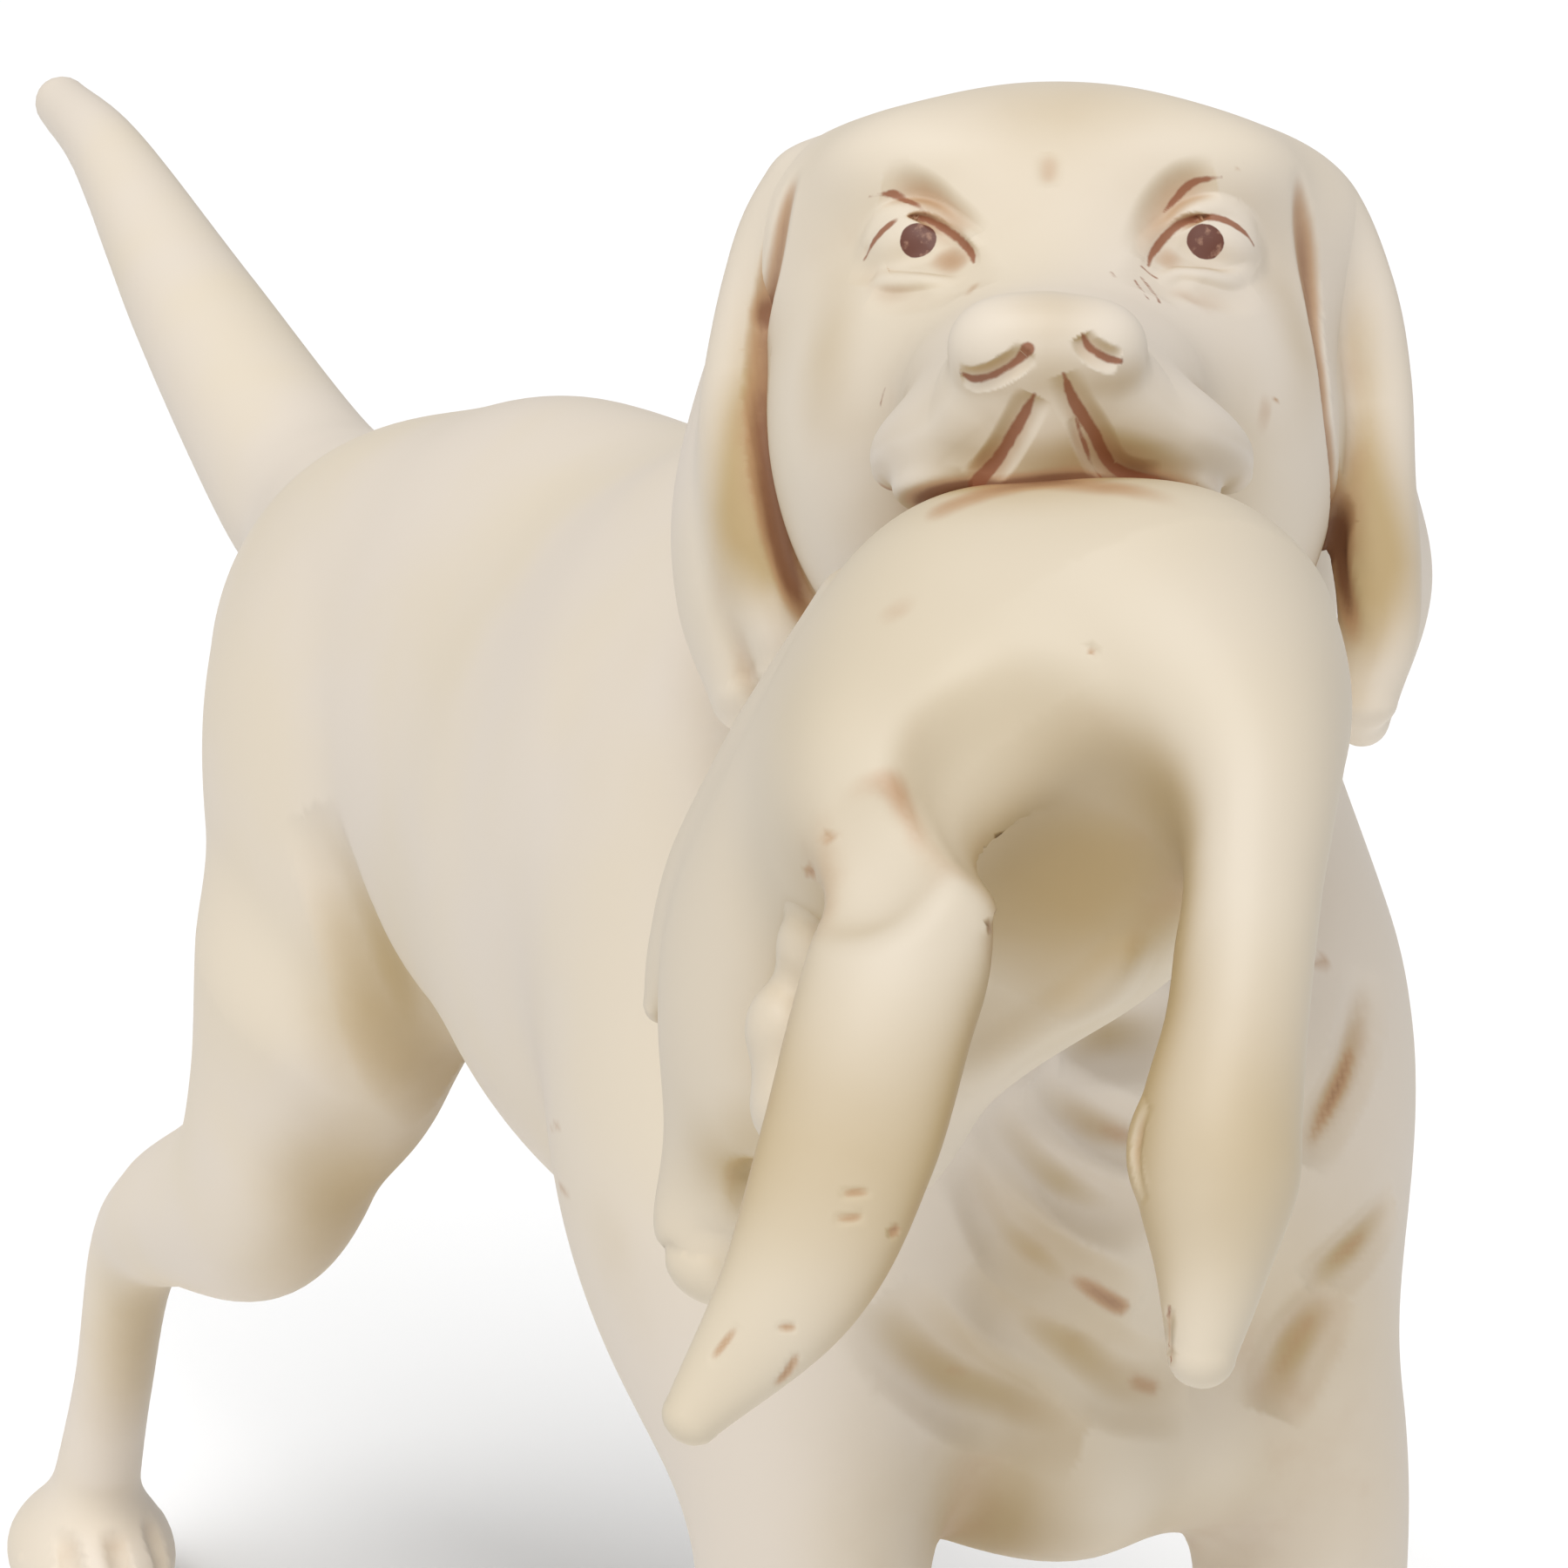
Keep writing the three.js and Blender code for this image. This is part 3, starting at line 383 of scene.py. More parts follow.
# Dog. Half sizes are across, along and up, and agree with the CAD solids.
SIDES = (-1, 1)
SIDE_NAMES = {1: "left", -1: "right"}
SHOULDER_X = {-1: 17.5, 1: 22.8}
THIGH_Y = {-1: 45.0, 1: 42.0}
FORE_X = {-1: -20.0, 1: 23.6}
FORE_STAND = -69.0
FORE_PAW = FORE_STAND - 6
SKULL_BACK = 15.0


def torso_clay():
    nape = on_head(-0.7, -SKULL_BACK - 4, -10.7)
    neck = roll(on_dog, [(1, -38, 128, 26, 24), (1.6, -60, 144, 24, 22), (*nape, 15.5, 18)])
    # Ribs, withers, brisket, saddle, loin, pelvis, shoulders, thighs and the keel of the chest
    return lumps(on_dog, WORLD, [
        (0, -20, 117.4, 28, 50, 35, 10),
        (0, -28, 133, 17, 24, 21.5, 10),
        (0, -54, 105, 27, 24, 32, 12),
        (0, 12, 128, 16, 36, 24, 10),
        (0, 30, 119.5, 23, 40, 29, 12),
        (0, 56, 118.5, 22, 31, 26, 12),
        *[(s * SHOULDER_X[s], -55, 107, 14, 20, 27, 10) for s in SIDES],
        *[(s * 15, THIGH_Y[s], 102, 11.5, 21, 28, 8) for s in SIDES],
        (2, -64, 82, 9, 14, 9, 8),
        (12, -64, 82, 7, 12, 8, 6),
    ]) + [Added(neck, 12)]


def foreleg_clay(s):
    def at(out, forward, z):
        return FORE_X[s] - s * out, FORE_STAND + forward, z

    leg = roll(at, [
        (3, 12, 104, 9.5, 14),
        (0.5, 3, 82, 8.5, 12),
        (0, 0, 62, 7.6, 9.5),
        (0, 0, 36, 7, 8),
        (0, -1, 14, 7, 8),
        (0, -2, 9, 7, 8),
    ])
    return [Added(leg, 7), *lumps(on_dog, WORLD, [(FORE_X[s], FORE_PAW, 6.3, 9.8, 13, 8, 5)])]


HIND = {
    -1: {"knee": (-19.5, 58, 68.5), "heel": (-22.6, 95, 48.6), "foot": (-24, 112.5)},
    1: {"knee": (21, 22, 74), "heel": (25, 40, 47), "foot": (26, 25)},
}


def hindleg_clay(s):
    knee = np.array(HIND[s]["knee"], float)
    heel = np.array(HIND[s]["heel"], float)
    foot_x, foot_y = HIND[s]["foot"]
    pastern_y = foot_y + (5 if heel[1] > foot_y else -1)
    hip = on_dog(s * 17, THIGH_Y[s] + (2 if s < 0 else -4), 92)
    calf = knee + (heel - knee) * 0.64 + (0, 0, 1.6)
    pastern = on_dog(foot_x, pastern_y, 12)
    leg = roll(on_dog, [
        (*hip, 11.5, 14.5),
        (*knee, 9.2, 11.8),
        (*calf, 7.4, 7.8),
        (*heel, 5, 5.6),
        (*(heel + pastern) / 2, 4.4, 4.6),
        (*pastern, 5.2, 5.6),
        (foot_x, pastern_y + 1, 9, 5.8, 6.2),
    ])
    return [Added(leg, 6), *lumps(on_dog, WORLD, [(foot_x, foot_y, 6.3, 9.4, 13, 7.5, 5)])]


def tail_clay():
    centre_line = [(78, 130.5, 11), (96, 133.6, 9.8), (130, 148.4, 7.6), (162, 164, 4.7), (181.5, 169.4, 3.4)]
    return [Added(roll(on_dog, [(0, y, z, r) for y, z, r in centre_line]), 6)]


# Folds of the coat in dog coordinates, each with its width, its depth and its stain
COAT_FOLDS = [
    ([(5.5, -76.5, 117.3), (0.5, -76.9, 118.1), (-4.3, -76.6, 117.4)], 4, 1.62, 0.3),
    ([(4.6, -77.6, 108.9), (-1, -77.8, 111.4), (-6.5, -76.8, 115.5)], 3.4, 2.03, 0.45),
    ([(3.4, -77.8, 103.6), (-2.1, -78, 106.1), (-5.8, -77.7, 109.1), (-9.9, -76.8, 114.4)], 3.4, 1.89, 0.3),
    ([(2.4, -77, 96.2), (-2.7, -77.5, 99), (-6.1, -77.5, 101.6), (-8.9, -77.6, 105.1), (-12, -77, 112)],
     3.6, 2.16, 0.45),
    ([(8.4, -75.4, 88.6), (2.5, -76.5, 90.3), (-2, -76.4, 93.4), (-6.7, -76.8, 96.9), (-11, -77.2, 103)],
     4.2, 2.03, 0.38),
    ([(-1, -75.5, 86.6), (-6.7, -75.1, 89.2), (-11.8, -76.2, 92.6), (-16.6, -77, 97), (-19, -76.6, 101)],
     4.4, 1.89, 0.3),
    ([(25.6, -73, 119), (22.7, -75.4, 112.9), (20.2, -76.2, 109.3), (17.5, -76.4, 105.6)], 3, 1.22, 0.45),
    ([(27.5, -75, 100.6), (22.5, -76.5, 97.6), (18.6, -76.5, 95)], 3.2, 1.08, 0.22),
    ([(20.8, -76.6, 94.8), (17.9, -75.8, 90.3), (15.3, -73.7, 84.7)], 3.6, 1.22, 0.3),
    ([(-24, 28, 115), (-22, 25, 108), (-20, 24, 102), (-17, 25, 96), (-14, 28, 90), (-10, 31, 86)],
     7, 3, 0.1),
    ([(23, 16, 110), (22, 12, 102), (19, 9, 94), (15, 9, 87)], 7, 2.4, 0.1),
]
# Olive stain and painted shade on open skin, darker in the haunch crease, under the thigh, down the shank and
# low on the chest, with its width and strength
COAT_STAIN_AND_SHADE_WASHES = [
    ([(-24, 27, 116), (-20, 25, 104), (-18, 26, 94), (-15, 30, 84), (-13, 36, 74)], 14, 0.4),
    ([(-18, 26, 96), (-15, 32, 84), (-14, 40, 74), (-16, 50, 65), (-21, 62, 57)], 17, 0.55),
    ([(-22, 78, 56), (-22, 89, 47), (-23, 98, 31), (-26, 104, 19)], 12, 0.5),
    ([(23, 12, 106), (19, 9, 94), (16, 12, 80)], 9, 0.45),
    ([(-32, -51, 101), (-32, -58, 100), (-30, -66, 92)], 10, 0.25),
    ([(-20, -77, 87), (-6, -73, 81), (3, -77, 78), (16, -75, 77)], 14, 0.2),
    ([(2, -77, 114), (-3, -78, 104), (-8, -77, 97), (-15, -76, 92)], 15, 0.4),
    ([(27, -72, 120), (23, -75, 108), (18, -76, 96), (12, -75, 84)], 13, 0.12),
]
# Brown left by the brush in the folds, with its width and strength
COAT_STAINS = [
    ([(2.2, -77.1, 96.3), (0.4, -77.3, 97.3), (-3.5, -77.5, 99.8)], 1.3, 0.8),
    ([(4.1, -77.7, 109.1), (1.5, -77.8, 110.2), (-1.5, -77.8, 111.6)], 1.6, 0.55),
    ([(23.4, -75, 114), (21.6, -75.9, 111), (18.3, -76.4, 106.6)], 1.1, 0.8),
    ([(6.2, -75.7, 88.9), (3, -76.4, 90.2)], 1.3, 0.55),
    ([(-9.5, -75.5, 91.6), (-12.5, -76.3, 93.4)], 1.3, 0.4),
    ([(24.6, -75.8, 98.6), (20.4, -76.5, 96.4)], 1.2, 0.4),
    ([(20, -73.6, 120.8), (21.4, -73.6, 119.6)], 1.3, 0.5),
    ([(19.5, -76.4, 92.8), (16.5, -75, 87.5)], 1.2, 0.4),
    ([(-31, -44, 106), (-32, -50, 108)], 1.1, 0.5),
    ([(-31, -46, 102), (-32, -52, 103)], 1.1, 0.5),
]
# Olive stain and painted shade in each fold spread over this share of its width, this strong
FOLD_STAIN_AND_SHADE_SPREAD = 0.65
FOLD_STAIN_AND_SHADE_STRENGTH = 0.55
LAYING_PASSES = 12
# Grooves between the toes: how far off the paw's middle, then their spread, set-back and height from the top
TOE_GAPS = (-4.6, 0.0, 4.6)
TOE_GROOVE = [(1, 5, 12), (1.08, 2, 9), (1.1, 0, 4), (1, 0, 0)]
PAW_REACH = 13.0
OUTER_TOES_SHORTER = 0.16


def coat_details(clay):
    """Folds, stains, and washes of olive stain and painted shade on the coat, with the stains and washes laid
    on the folded skin.
    """
    def laid(places, skin):
        return settled(skin, np.array(places, float), LAYING_PASSES)

    steps = [Crease(laid(places, clay), width, depth, stain) for places, width, depth, stain in COAT_FOLDS]
    folded = clay + steps
    for places, width, _, _ in COAT_FOLDS:
        steps.append(StainAndShadeWash(laid(places, folded), FOLD_STAIN_AND_SHADE_SPREAD * width, FOLD_STAIN_AND_SHADE_STRENGTH))
    steps += [Crease(laid(places, folded), width, 0, stain, 4) for places, width, stain in COAT_STAINS]
    steps += [StainAndShadeWash(laid(places, folded), width, stain) for places, width, stain in COAT_STAIN_AND_SHADE_WASHES]
    paws = [(FORE_X[s], FORE_PAW) for s in SIDES] + [HIND[s]["foot"] for s in SIDES]
    for x, y in paws:
        for gap in TOE_GAPS:
            front = y - PAW_REACH * (1 - OUTER_TOES_SHORTER * (gap != 0))
            places = [(x + gap * spread, front + back, z) for spread, back, z in TOE_GROOVE]
            steps.append(Crease(places, 2.2, 1.0, 0.08))
    return steps


# Places on the head are side, forward and up from the eyes, and then half width and half thickness
LIPS = {
    -1: [(-1.6, 25.6, -15.6, 1.7, 1.9), (-3.8, 23.9, -16.5, 2.9, 2.5), (-6.2, 20.9, -16.6, 2.9, 2.7),
         (-8.3, 17, -16.6, 2.3, 2.3), (-9.3, 12.5, -16.8, 1.4, 1.6)],
    1: [(1.8, 25.6, -15.3, 1.7, 1.9), (4.9, 23.9, -16.2, 2.9, 2.5), (7.4, 20.9, -16.2, 2.8, 2.7),
        (9.4, 17, -16.4, 2.1, 2.3), (10.3, 12.5, -16.8, 1.3, 1.6)],
}


PHILTRUM = [(0.2, 27.4, -13.5, 1.8, 1.7), (0.1, 27.2, -16.2, 2, 1.6), (-0.1, 25.4, -19.3, 3.8, 2)]
MUZZLE = [(0, 0, -10, 10, 9), (0, 14, -12.7, 9, 6.3), (0, 25, -14.2, 6.2, 4.6)]
JAW = [(0, -12, -20, 11, 9), (0, 2, -25.5, 8, 6.5), (0, 14, -31, 6, 4.5)]


def on_sight(clay, places, reach=12.0, step=0.1):
    """Moves places along the viewer's line of sight onto the clay, or as near to it as that line comes."""
    steps = np.arange(reach, -reach, -step)
    lines = np.asarray(places)[:, None] + steps[:, None] * LOOK_BACK
    d = distance_to(clay, lines.reshape(-1, 3), 2 * reach).reshape(len(lines), -1)
    inside = d < 0
    first = np.where(inside.any(1), inside.argmax(1), d.argmin(1))
    return lines[np.arange(len(lines)), first]


def head_clay():
    # Skull, then cheek, brow and the ear's root on each side, and the stop between the eyes
    clay = lumps(on_head, HEAD, [(-0.9, -SKULL_BACK, -2.7, 17, 19, 15.6, 12)])
    for s in SIDES:
        clay += lumps(on_head, HEAD, [
            (s * 8.6 - 0.5, -6, -13, 8.3, 11, 10, 8),
            (s * 8 - 0.5, -4, 5.2, 7, 6, 4, 5),
            (s * 14 - 0.5, -15, 4, 6, 7, 5, 8),
        ])
    clay += lumps(on_head, HEAD, [(0, -6, 2, 8, 8, 7, 6)])
    # Muzzle, nose and flews, the lip between them, the palate that rests on the duck, and the lower jaw
    clay.append(Added(roll(on_head, MUZZLE, HEAD_SIDE), 7))
    clay += lumps(on_head, HEAD, [(-0.3, 28.5, -12.4, 4.9, 3, 2.9, 2)])
    clay += [Added(roll(on_head, rows, HEAD_UP), 2) for rows in LIPS.values()]
    clay.append(Added(roll(on_head, PHILTRUM, HEAD_SIDE), 1.2))
    clay += lumps(on_head, HEAD, [(0.4, 19.5, -19.4, 9.4, 6.4, 2.3, 1.5)])
    clay.append(Added(roll(on_head, JAW, HEAD_SIDE), 8))
    return clay


# Marks on the face. Each row is side, forward and up from the eyes.
LID = {
    -1: [(-12.5, 0.9, -1.5), (-11.3, 1.3, 0.3), (-9.2, 2.6, 0.8), (-7.4, 3.9, -0.1), (-5.7, 5.5, -1.8),
         (-5.3, 6.5, -2.9)],
    1: [(5.4, 6.2, -2.9), (5.8, 5.2, -1.6), (7.4, 3.2, 0.5), (9.6, 1.7, 1.2), (11, 0.6, 0.8),
        (11.9, -0.4, 0)],
}
LOWER_LID = {
    -1: [(-11.9, 2.3, -2.8), (-10.3, 4, -3.5), (-8.3, 5.4, -3.7), (-6.2, 6.8, -3.8)],
    1: [(6.2, 6.5, -3.7), (7.2, 5, -2.8), (8.7, 4.1, -2.9), (10.4, 2.7, -2.9), (12, 0.6, -1.9)],
}
BROW = {
    -1: [(-12.4, 0.8, 2.6), (-10.9, 1.7, 2.6), (-9.6, 2.4, 1.9), (-8.6, 2.9, 1.1)],
    1: [(6.3, 3.6, 1.1), (7.1, 3, 2.2), (8.1, 2.5, 3.3), (9.8, 1.9, 3.8)],
}
BROW_FOLD = {
    -1: [(-11.5, 1.5, 3.2), (-10, 2.1, 2.7), (-8.8, 2.7, 1.9), (-7.8, 3.3, 0.9), (-6.6, 4.3, -0.3),
         (-5.8, 5.2, -1.3)],
    1: [(9.6, 2, 3.4), (7.6, 2.8, 2.8), (6.2, 3.8, 0.9), (5.2, 6, -2.4)],
}
IRIS = {-1: (-9, 3.2, -0.7), 1: (8.9, 2.6, -0.5)}
IRIS_RADIUS = 1.17
NOSTRIL = {
    -1: [(-4.9, 28.4, -14.1), (-4.1, 29.2, -14.6), (-2.9, 30.2, -14.5), (-1.7, 30.9, -13.9),
         (-1.1, 31.3, -13.3)],
    1: [(1.9, 31.2, -12.4), (2.3, 31, -13.1), (3.2, 30.2, -13.5), (4, 29.8, -13.6)],
}
LIP_GROOVE = {
    -1: [(-0.7, 29.7, -15.5), (-1.5, 28.7, -16.9), (-2.7, 26.5, -18.5), (-4.1, 24.1, -19.7)],
    1: [(0.9, 30.6, -14.5), (1.5, 29.4, -15.9), (2.5, 28, -17.2), (3.5, 25.8, -18.7), (4.8, 24.8, -19.2),
        (6.3, 24.1, -19.2)],
}
LIP_FOLD = [(1.6, 28.8, -16.7), (2, 27.6, -17.8), (3, 24.1, -19.1)]
FOREHEAD = [(-1, 3.4, 5), (-0.9, 3.9, 3.7), (-0.8, 4.5, 2.4)]
FACE_MARKS = [
    [(5, 6.8, -3.1), (5.9, 6.8, -3.8)],
    [(5, 7.5, -3.9), (5.6, 8.1, -4.8), (6.1, 8.7, -5.7)],
    [(4.6, 8.2, -4.2), (5.4, 9.2, -5.6)],
    [(3.1, 8.5, -3.8), (3.4, 8.9, -4.2)],
    [(-10.5, 6.8, -10.8), (-10.8, 6.6, -11.8)],
    [(8.4, 22.1, -19.1), (10.2, 19.1, -18.9)],
]
EAR_GROOVE = {
    -1: [(-17.4, -5.6, 6), (-19.3, -9.4, 0), (-19.8, -11, -8), (-18.4, -10.8, -17), (-16.6, -10, -24)],
    1: [(14.5, -2.4, 5.6), (15.9, -3.6, -2), (17, -8, -10), (18, -12.7, -16.5), (19.6, -12.6, -24.2)],
}
LIP_STAIN = [(-9, 17, -19), (-5.2, 22.5, -19.8), (0, 25, -19.9), (5, 23, -19.4), (9.8, 18, -18.7)]
# Darker places on the face: the temples, and painted shade that tones down the lit tops of the nose and of
# the skull
TEMPLES = [
    [(-14.6, -1, 2), (-14.9, -2.4, -7), (-13.6, -1.5, -15)],
    [(13.6, -1, 2), (15, -3, -6), (14.6, -3, -14)],
]
NOSE_TOP_SHADE = [(-4.4, 29, -12), (-1.5, 31, -11.5), (1.5, 31, -11.5), (4.4, 29, -12)]
SKULL_TOP_SHADE = [(-11, -3, 7), (-4, 1, 8), (4, 1, 8), (11, -3, 7)]
# Olive stain and painted shade low on the back of each ear
EAR_STAIN_AND_SHADE = {
    -1: [(-20.5, -12, -6), (-19.6, -11.6, -16), (-18.6, -12, -24)],
    1: [(19.3, -11.1, -8), (21.1, -11.2, -18.7), (21.9, -13.1, -25.8)],
}
# Brown left by the brush, with its width and strength. At the inner corners of the eyes and under the lower
# lids the brown is partly painted shade in the hollows.
FACE_STAINS = [
    ([(-9.8, 16.2, -18.4), (-9.4, 17.2, -20.6)], 1.3, 0.85),
    ([(10.9, 1.4, 4.7), (11.1, 1.3, 4.4)], 0.7, 0.55),
    ([(13.4, 3.3, -10.4), (13.4, 3.3, -10.8)], 0.6, 0.6),
    ([(12.2, 5, -11.4), (13.2, 4, -12)], 2.2, 0.3),
    ([(2.8, 3.5, 4.5), (2.1, 3.9, 3.6)], 0.8, 0.2),
    ([(-5.1, 8.1, -4.4), (-5.5, 9.3, -5.7)], 0.6, 0.35),
    ([(-7.8, 5, -1.9), (-6.8, 5.7, -2.6), (-5.7, 6.6, -3.2)], 1.7, 0.5),
    ([(6.1, 6, -3), (6.6, 5, -2.2), (7.2, 4.2, -1.5)], 1.5, 0.35),
    ([(-13, 1.5, -3), (-11, 3.4, -3.9), (-8, 6, -4.6)], 1.8, 0.2),
    ([(6.5, 6.7, -4.3), (8.4, 5.8, -5), (11, 2.8, -4)], 2.0, 0.22),
]


def face_places(clay, rows):
    return on_sight(clay, [on_head(*row) for row in rows])


def pressed(clay, rows, width, depth=0.0, stain=0.0, fullness=2.5):
    """A crease through places on the skin, given from the eyes."""
    return Crease(face_places(clay, rows), width, depth, stain, fullness)


def stain_and_shade_washed(clay, rows, width, stain):
    """A wash of olive stain and painted shade through places on the skin, given from the eyes."""
    return StainAndShadeWash(face_places(clay, rows), width, stain)


def above(rows, rise):
    return np.add(rows, (0, 0, rise))


def face_details(clay):
    """The small forms of the face, laid on its finished skin."""
    steps = []
    for s in SIDES:
        eye = face_places(clay, [IRIS[s]])[0]
        steps += [
            pressed(clay, BROW_FOLD[s], 2.0, 0.6, 0.42),
            pressed(clay, above(LID[s], -1.7), 2.4, 0.45),
            Added(Lump(eye - 2.9 * HEAD_FORWARD, (3.2, 3.1, 2.4), HEAD), 1.4),
            pressed(clay, above(LID[s], 0.75), 1.0, -0.3),
            pressed(clay, LID[s], 0.55, 0.3, 0.5),
            pressed(clay, LOWER_LID[s], 0.9, -0.3),
            # The crease under each lower lid holds a little brown, partly painted shade
            pressed(clay, above(LOWER_LID[s], -1.2), 1.6, 0.25, 0.1),
            *lumps(on_head, HEAD, [(s * 3, 28.4, -12.3, 2.1, 2.1, 1.9, 1.6)]),
        ]
    skin = clay + steps
    for s in SIDES:
        steps += [pressed(skin, NOSTRIL[s], 0.9, 0.8, 0.5), pressed(skin, LIP_GROOVE[s], 1.2, 0.6, 0.45)]
    return steps + [
        pressed(skin, LIP_FOLD, 0.7, 0.35, 0.5),
        pressed(skin, LIP_STAIN, 1.3, 0, 0.8, 4),
        pressed(skin, FOREHEAD, 1.1, 0.15, 0.35),
        *[pressed(skin, rows, width, 0, stain) for rows, width, stain in FACE_STAINS],
        # The temples are darkened, and painted shade tones down the lit tops of the nose and the skull
        *[stain_and_shade_washed(skin, rows, 5, 0.3) for rows in TEMPLES],
        stain_and_shade_washed(skin, NOSE_TOP_SHADE, 6, 0.4),
        stain_and_shade_washed(skin, SKULL_TOP_SHADE, 13, 0.3),
    ]


def ear_groove(clay, s):
    """The stained groove where an ear's front edge lies along the head."""
    return pressed(clay, EAR_GROOVE[s], 1.5, 0.5, 0.9, 4)


def face_strokes(clay):
    """Brush strokes on the face, with half their widths."""
    def stroke(rows, middle, first=0.08, last=0.08):
        halves = np.full(len(rows), middle)
        halves[0] = first
        halves[-1] = last
        return Stroke(face_places(clay, rows), halves)

    strokes = [stroke(LIP_FOLD, 0.16)]
    for s in SIDES:
        strokes.append(stroke(LID[s], 0.27))
        strokes.append(stroke(BROW[s], 0.25))
        strokes.append(stroke(NOSTRIL[s], 0.24, 0.1, 0.4 if s < 0 else 0.18))
        strokes.append(stroke(LIP_GROOVE[s], 0.36, 0.1, 0.5 if s < 0 else 0.14))
    return strokes + [stroke(rows, 0.14) for rows in FACE_MARKS]


# Each ear is a rounded fold along its front edge, with the flap behind it
EAR_FOLD = {
    -1: [(-17.4, -12, 6.2, 2.6, 2.6), (-20, -13, 1, 2.6, 2.7), (-21.2, -14, -8, 2.6, 2.8),
         (-19.8, -13.5, -16, 2.9, 2.9), (-18.4, -13, -22, 2.7, 2.6), (-18, -13.5, -25.5, 1.7, 1.8)],
    1: [(15.2, -13, 5, 2.4, 2.4), (18.4, -13, 1.2, 2.6, 2.7), (20, -14, -6, 2.6, 2.8),
        (20.4, -14, -14, 2.6, 2.8), (21.2, -14, -22, 2.3, 2.4), (20.6, -15, -27, 1.4, 1.6)],
}
EAR_FLAP = {
    -1: [(-17.8, -18, 4.6, 4.4, 2.6), (-21.2, -20, -2, 7, 2.7), (-23.9, -21, -12, 8.2, 2.6),
         (-23.5, -20, -20, 7.4, 2.5), (-21.2, -18.5, -27, 3.6, 2.3)],
    1: [(15.6, -18, 3.8, 4.2, 2.5), (19.8, -20, -2.4, 7, 2.6), (20.6, -21, -10, 8, 2.4),
        (21.9, -20.5, -18, 7.4, 2.6), (20, -18.5, -27.5, 3.4, 2)],
}


def ear_clay(s):
    wide_axis = HEAD_SIDE * 0.25 * s - HEAD_FORWARD
    fold = roll(on_head, EAR_FOLD[s], wide_axis)
    return [Added(fold, 1), Added(roll(on_head, EAR_FLAP[s], wide_axis), 2.4)]


# Duck
def duck_body_clay():
    # Breast in the mouth, back, belly and rump, and the shoulder of the near wing
    body = lumps(on_duck, HEAD, [
        (2.8, -1.5, 12.3, 14, 12, 12.5, 6),
        (-3.6, -1, 7.5, 7.5, 8, 7.6, 5),
        (-4.5, -6.5, 18.5, 13.5, 12, 13.5, 8),
        (-12.8, -12, 28, 9.8, 9.5, 12.5, 8),
        (-9.4, 4.3, 17.6, 5.4, 8.4, 7.6, 5),
    ])
    neck_and_head = roll(on_duck, [
        (7, 2, 9, 8.5, 8.5), (11, 8, 15.5, 5.4, 5.8), (11.3, 12, 22.6, 4.1), (11, 14.5, 29.2, 3.7),
        (10.2, 16, 34.8, 4.2), (10, 16.3, 38.5, 4.2), (9.8, 16.6, 42.9, 2.9), (9.4, 17, 47, 1.8),
    ], HEAD_SIDE)
    near_wing = roll(on_duck, [
        (-2.4, 6, 14, 4.6, 4.1), (-4.8, 12.5, 20.5, 5, 3.4), (-7.2, 16.5, 29.2, 4.8, 3.1),
        (-9, 18, 36.9, 4.6, 2.7), (-11.6, 18.5, 44, 3.8, 2.3), (-16.6, 19, 51, 1.6, 1.4),
    ], HEAD_SIDE)
    tail_rows = [(-13, -15, 34, 7, 5.8), (-18, -15.5, 41, 5.2, 3.8), (-19, -15, 44, 3.2, 2.4)]
    tail = roll(on_duck, tail_rows, HEAD_SIDE)
    return body + [Added(neck_and_head, 6), Added(near_wing, 5), Added(tail, 5)]


# Marks on the duck. Each row is side, forward and up from the dog's eyes.
ARCH = [(-0.8, 39.2, -37.6, 1.8), (2.2, 36.6, -41.2, 3.4), (1, 33.6, -45, 4.2), (-0.6, 30, -48.6, 4),
        (-2.6, 26.6, -51, 2.8)]
REAR_NOTCH = [(-15.6, 16, -60, 2), (-15.8, 14, -66, 2.8)]
BREAST_VALLEY = (-1.9, 38.2, -36.8)
SHOULDER_DISH = (-9, 38, -40.6)
MOUTH_STAIN = [(-7.2, 24.5, -21.6), (-5.3, 27, -21.3), (-0.3, 28.4, -20.4), (4, 28.4, -20.4),
               (9.6, 21, -21.6)]
BELLY_RIM = [(7.6, 29, -43.9), (4.6, 25.1, -47.6), (1, 22.6, -50.4), (-4.2, 19.9, -54)]
WING_HOLLOW = [(-10.5, 31.8, -37.6), (-7.9, 38.1, -38), (-6.5, 40.6, -40.1), (-6.6, 41.8, -42.2),
               (-7.8, 42.4, -43.8)]
# Washes: olive stain and painted shade in the hollow under the neck, painted shade on the hanging fronts of
# the neck and near wing, and a darker rear beside the notch
CAVITY_STAIN_AND_SHADE = [(4.2, 34, -40.6), (2.2, 32.4, -43.4), (-0.6, 29.4, -46.8), (-3, 27, -50)]
NECK_FRONT_SHADE = [(12, 42, -42), (12, 44, -52), (11, 45, -62), (10, 44, -68)]
WING_FRONT_SHADE = [(-6, 44, -46), (-8, 46, -54), (-10, 46, -62), (-13, 46, -68)]
REAR = [(-17.5, 20, -54), (-17.5, 16, -59), (-18.5, 13.3, -63)]
BILL = [(7.7, 43.1, -65.3), (7.6, 42.6, -66.8), (7.9, 42.8, -68.3)]
CHEEK = [(6.5, 43, -55), (6, 42.4, -56.7), (6, 42.8, -58.3), (6.4, 43.1, -60.1)]
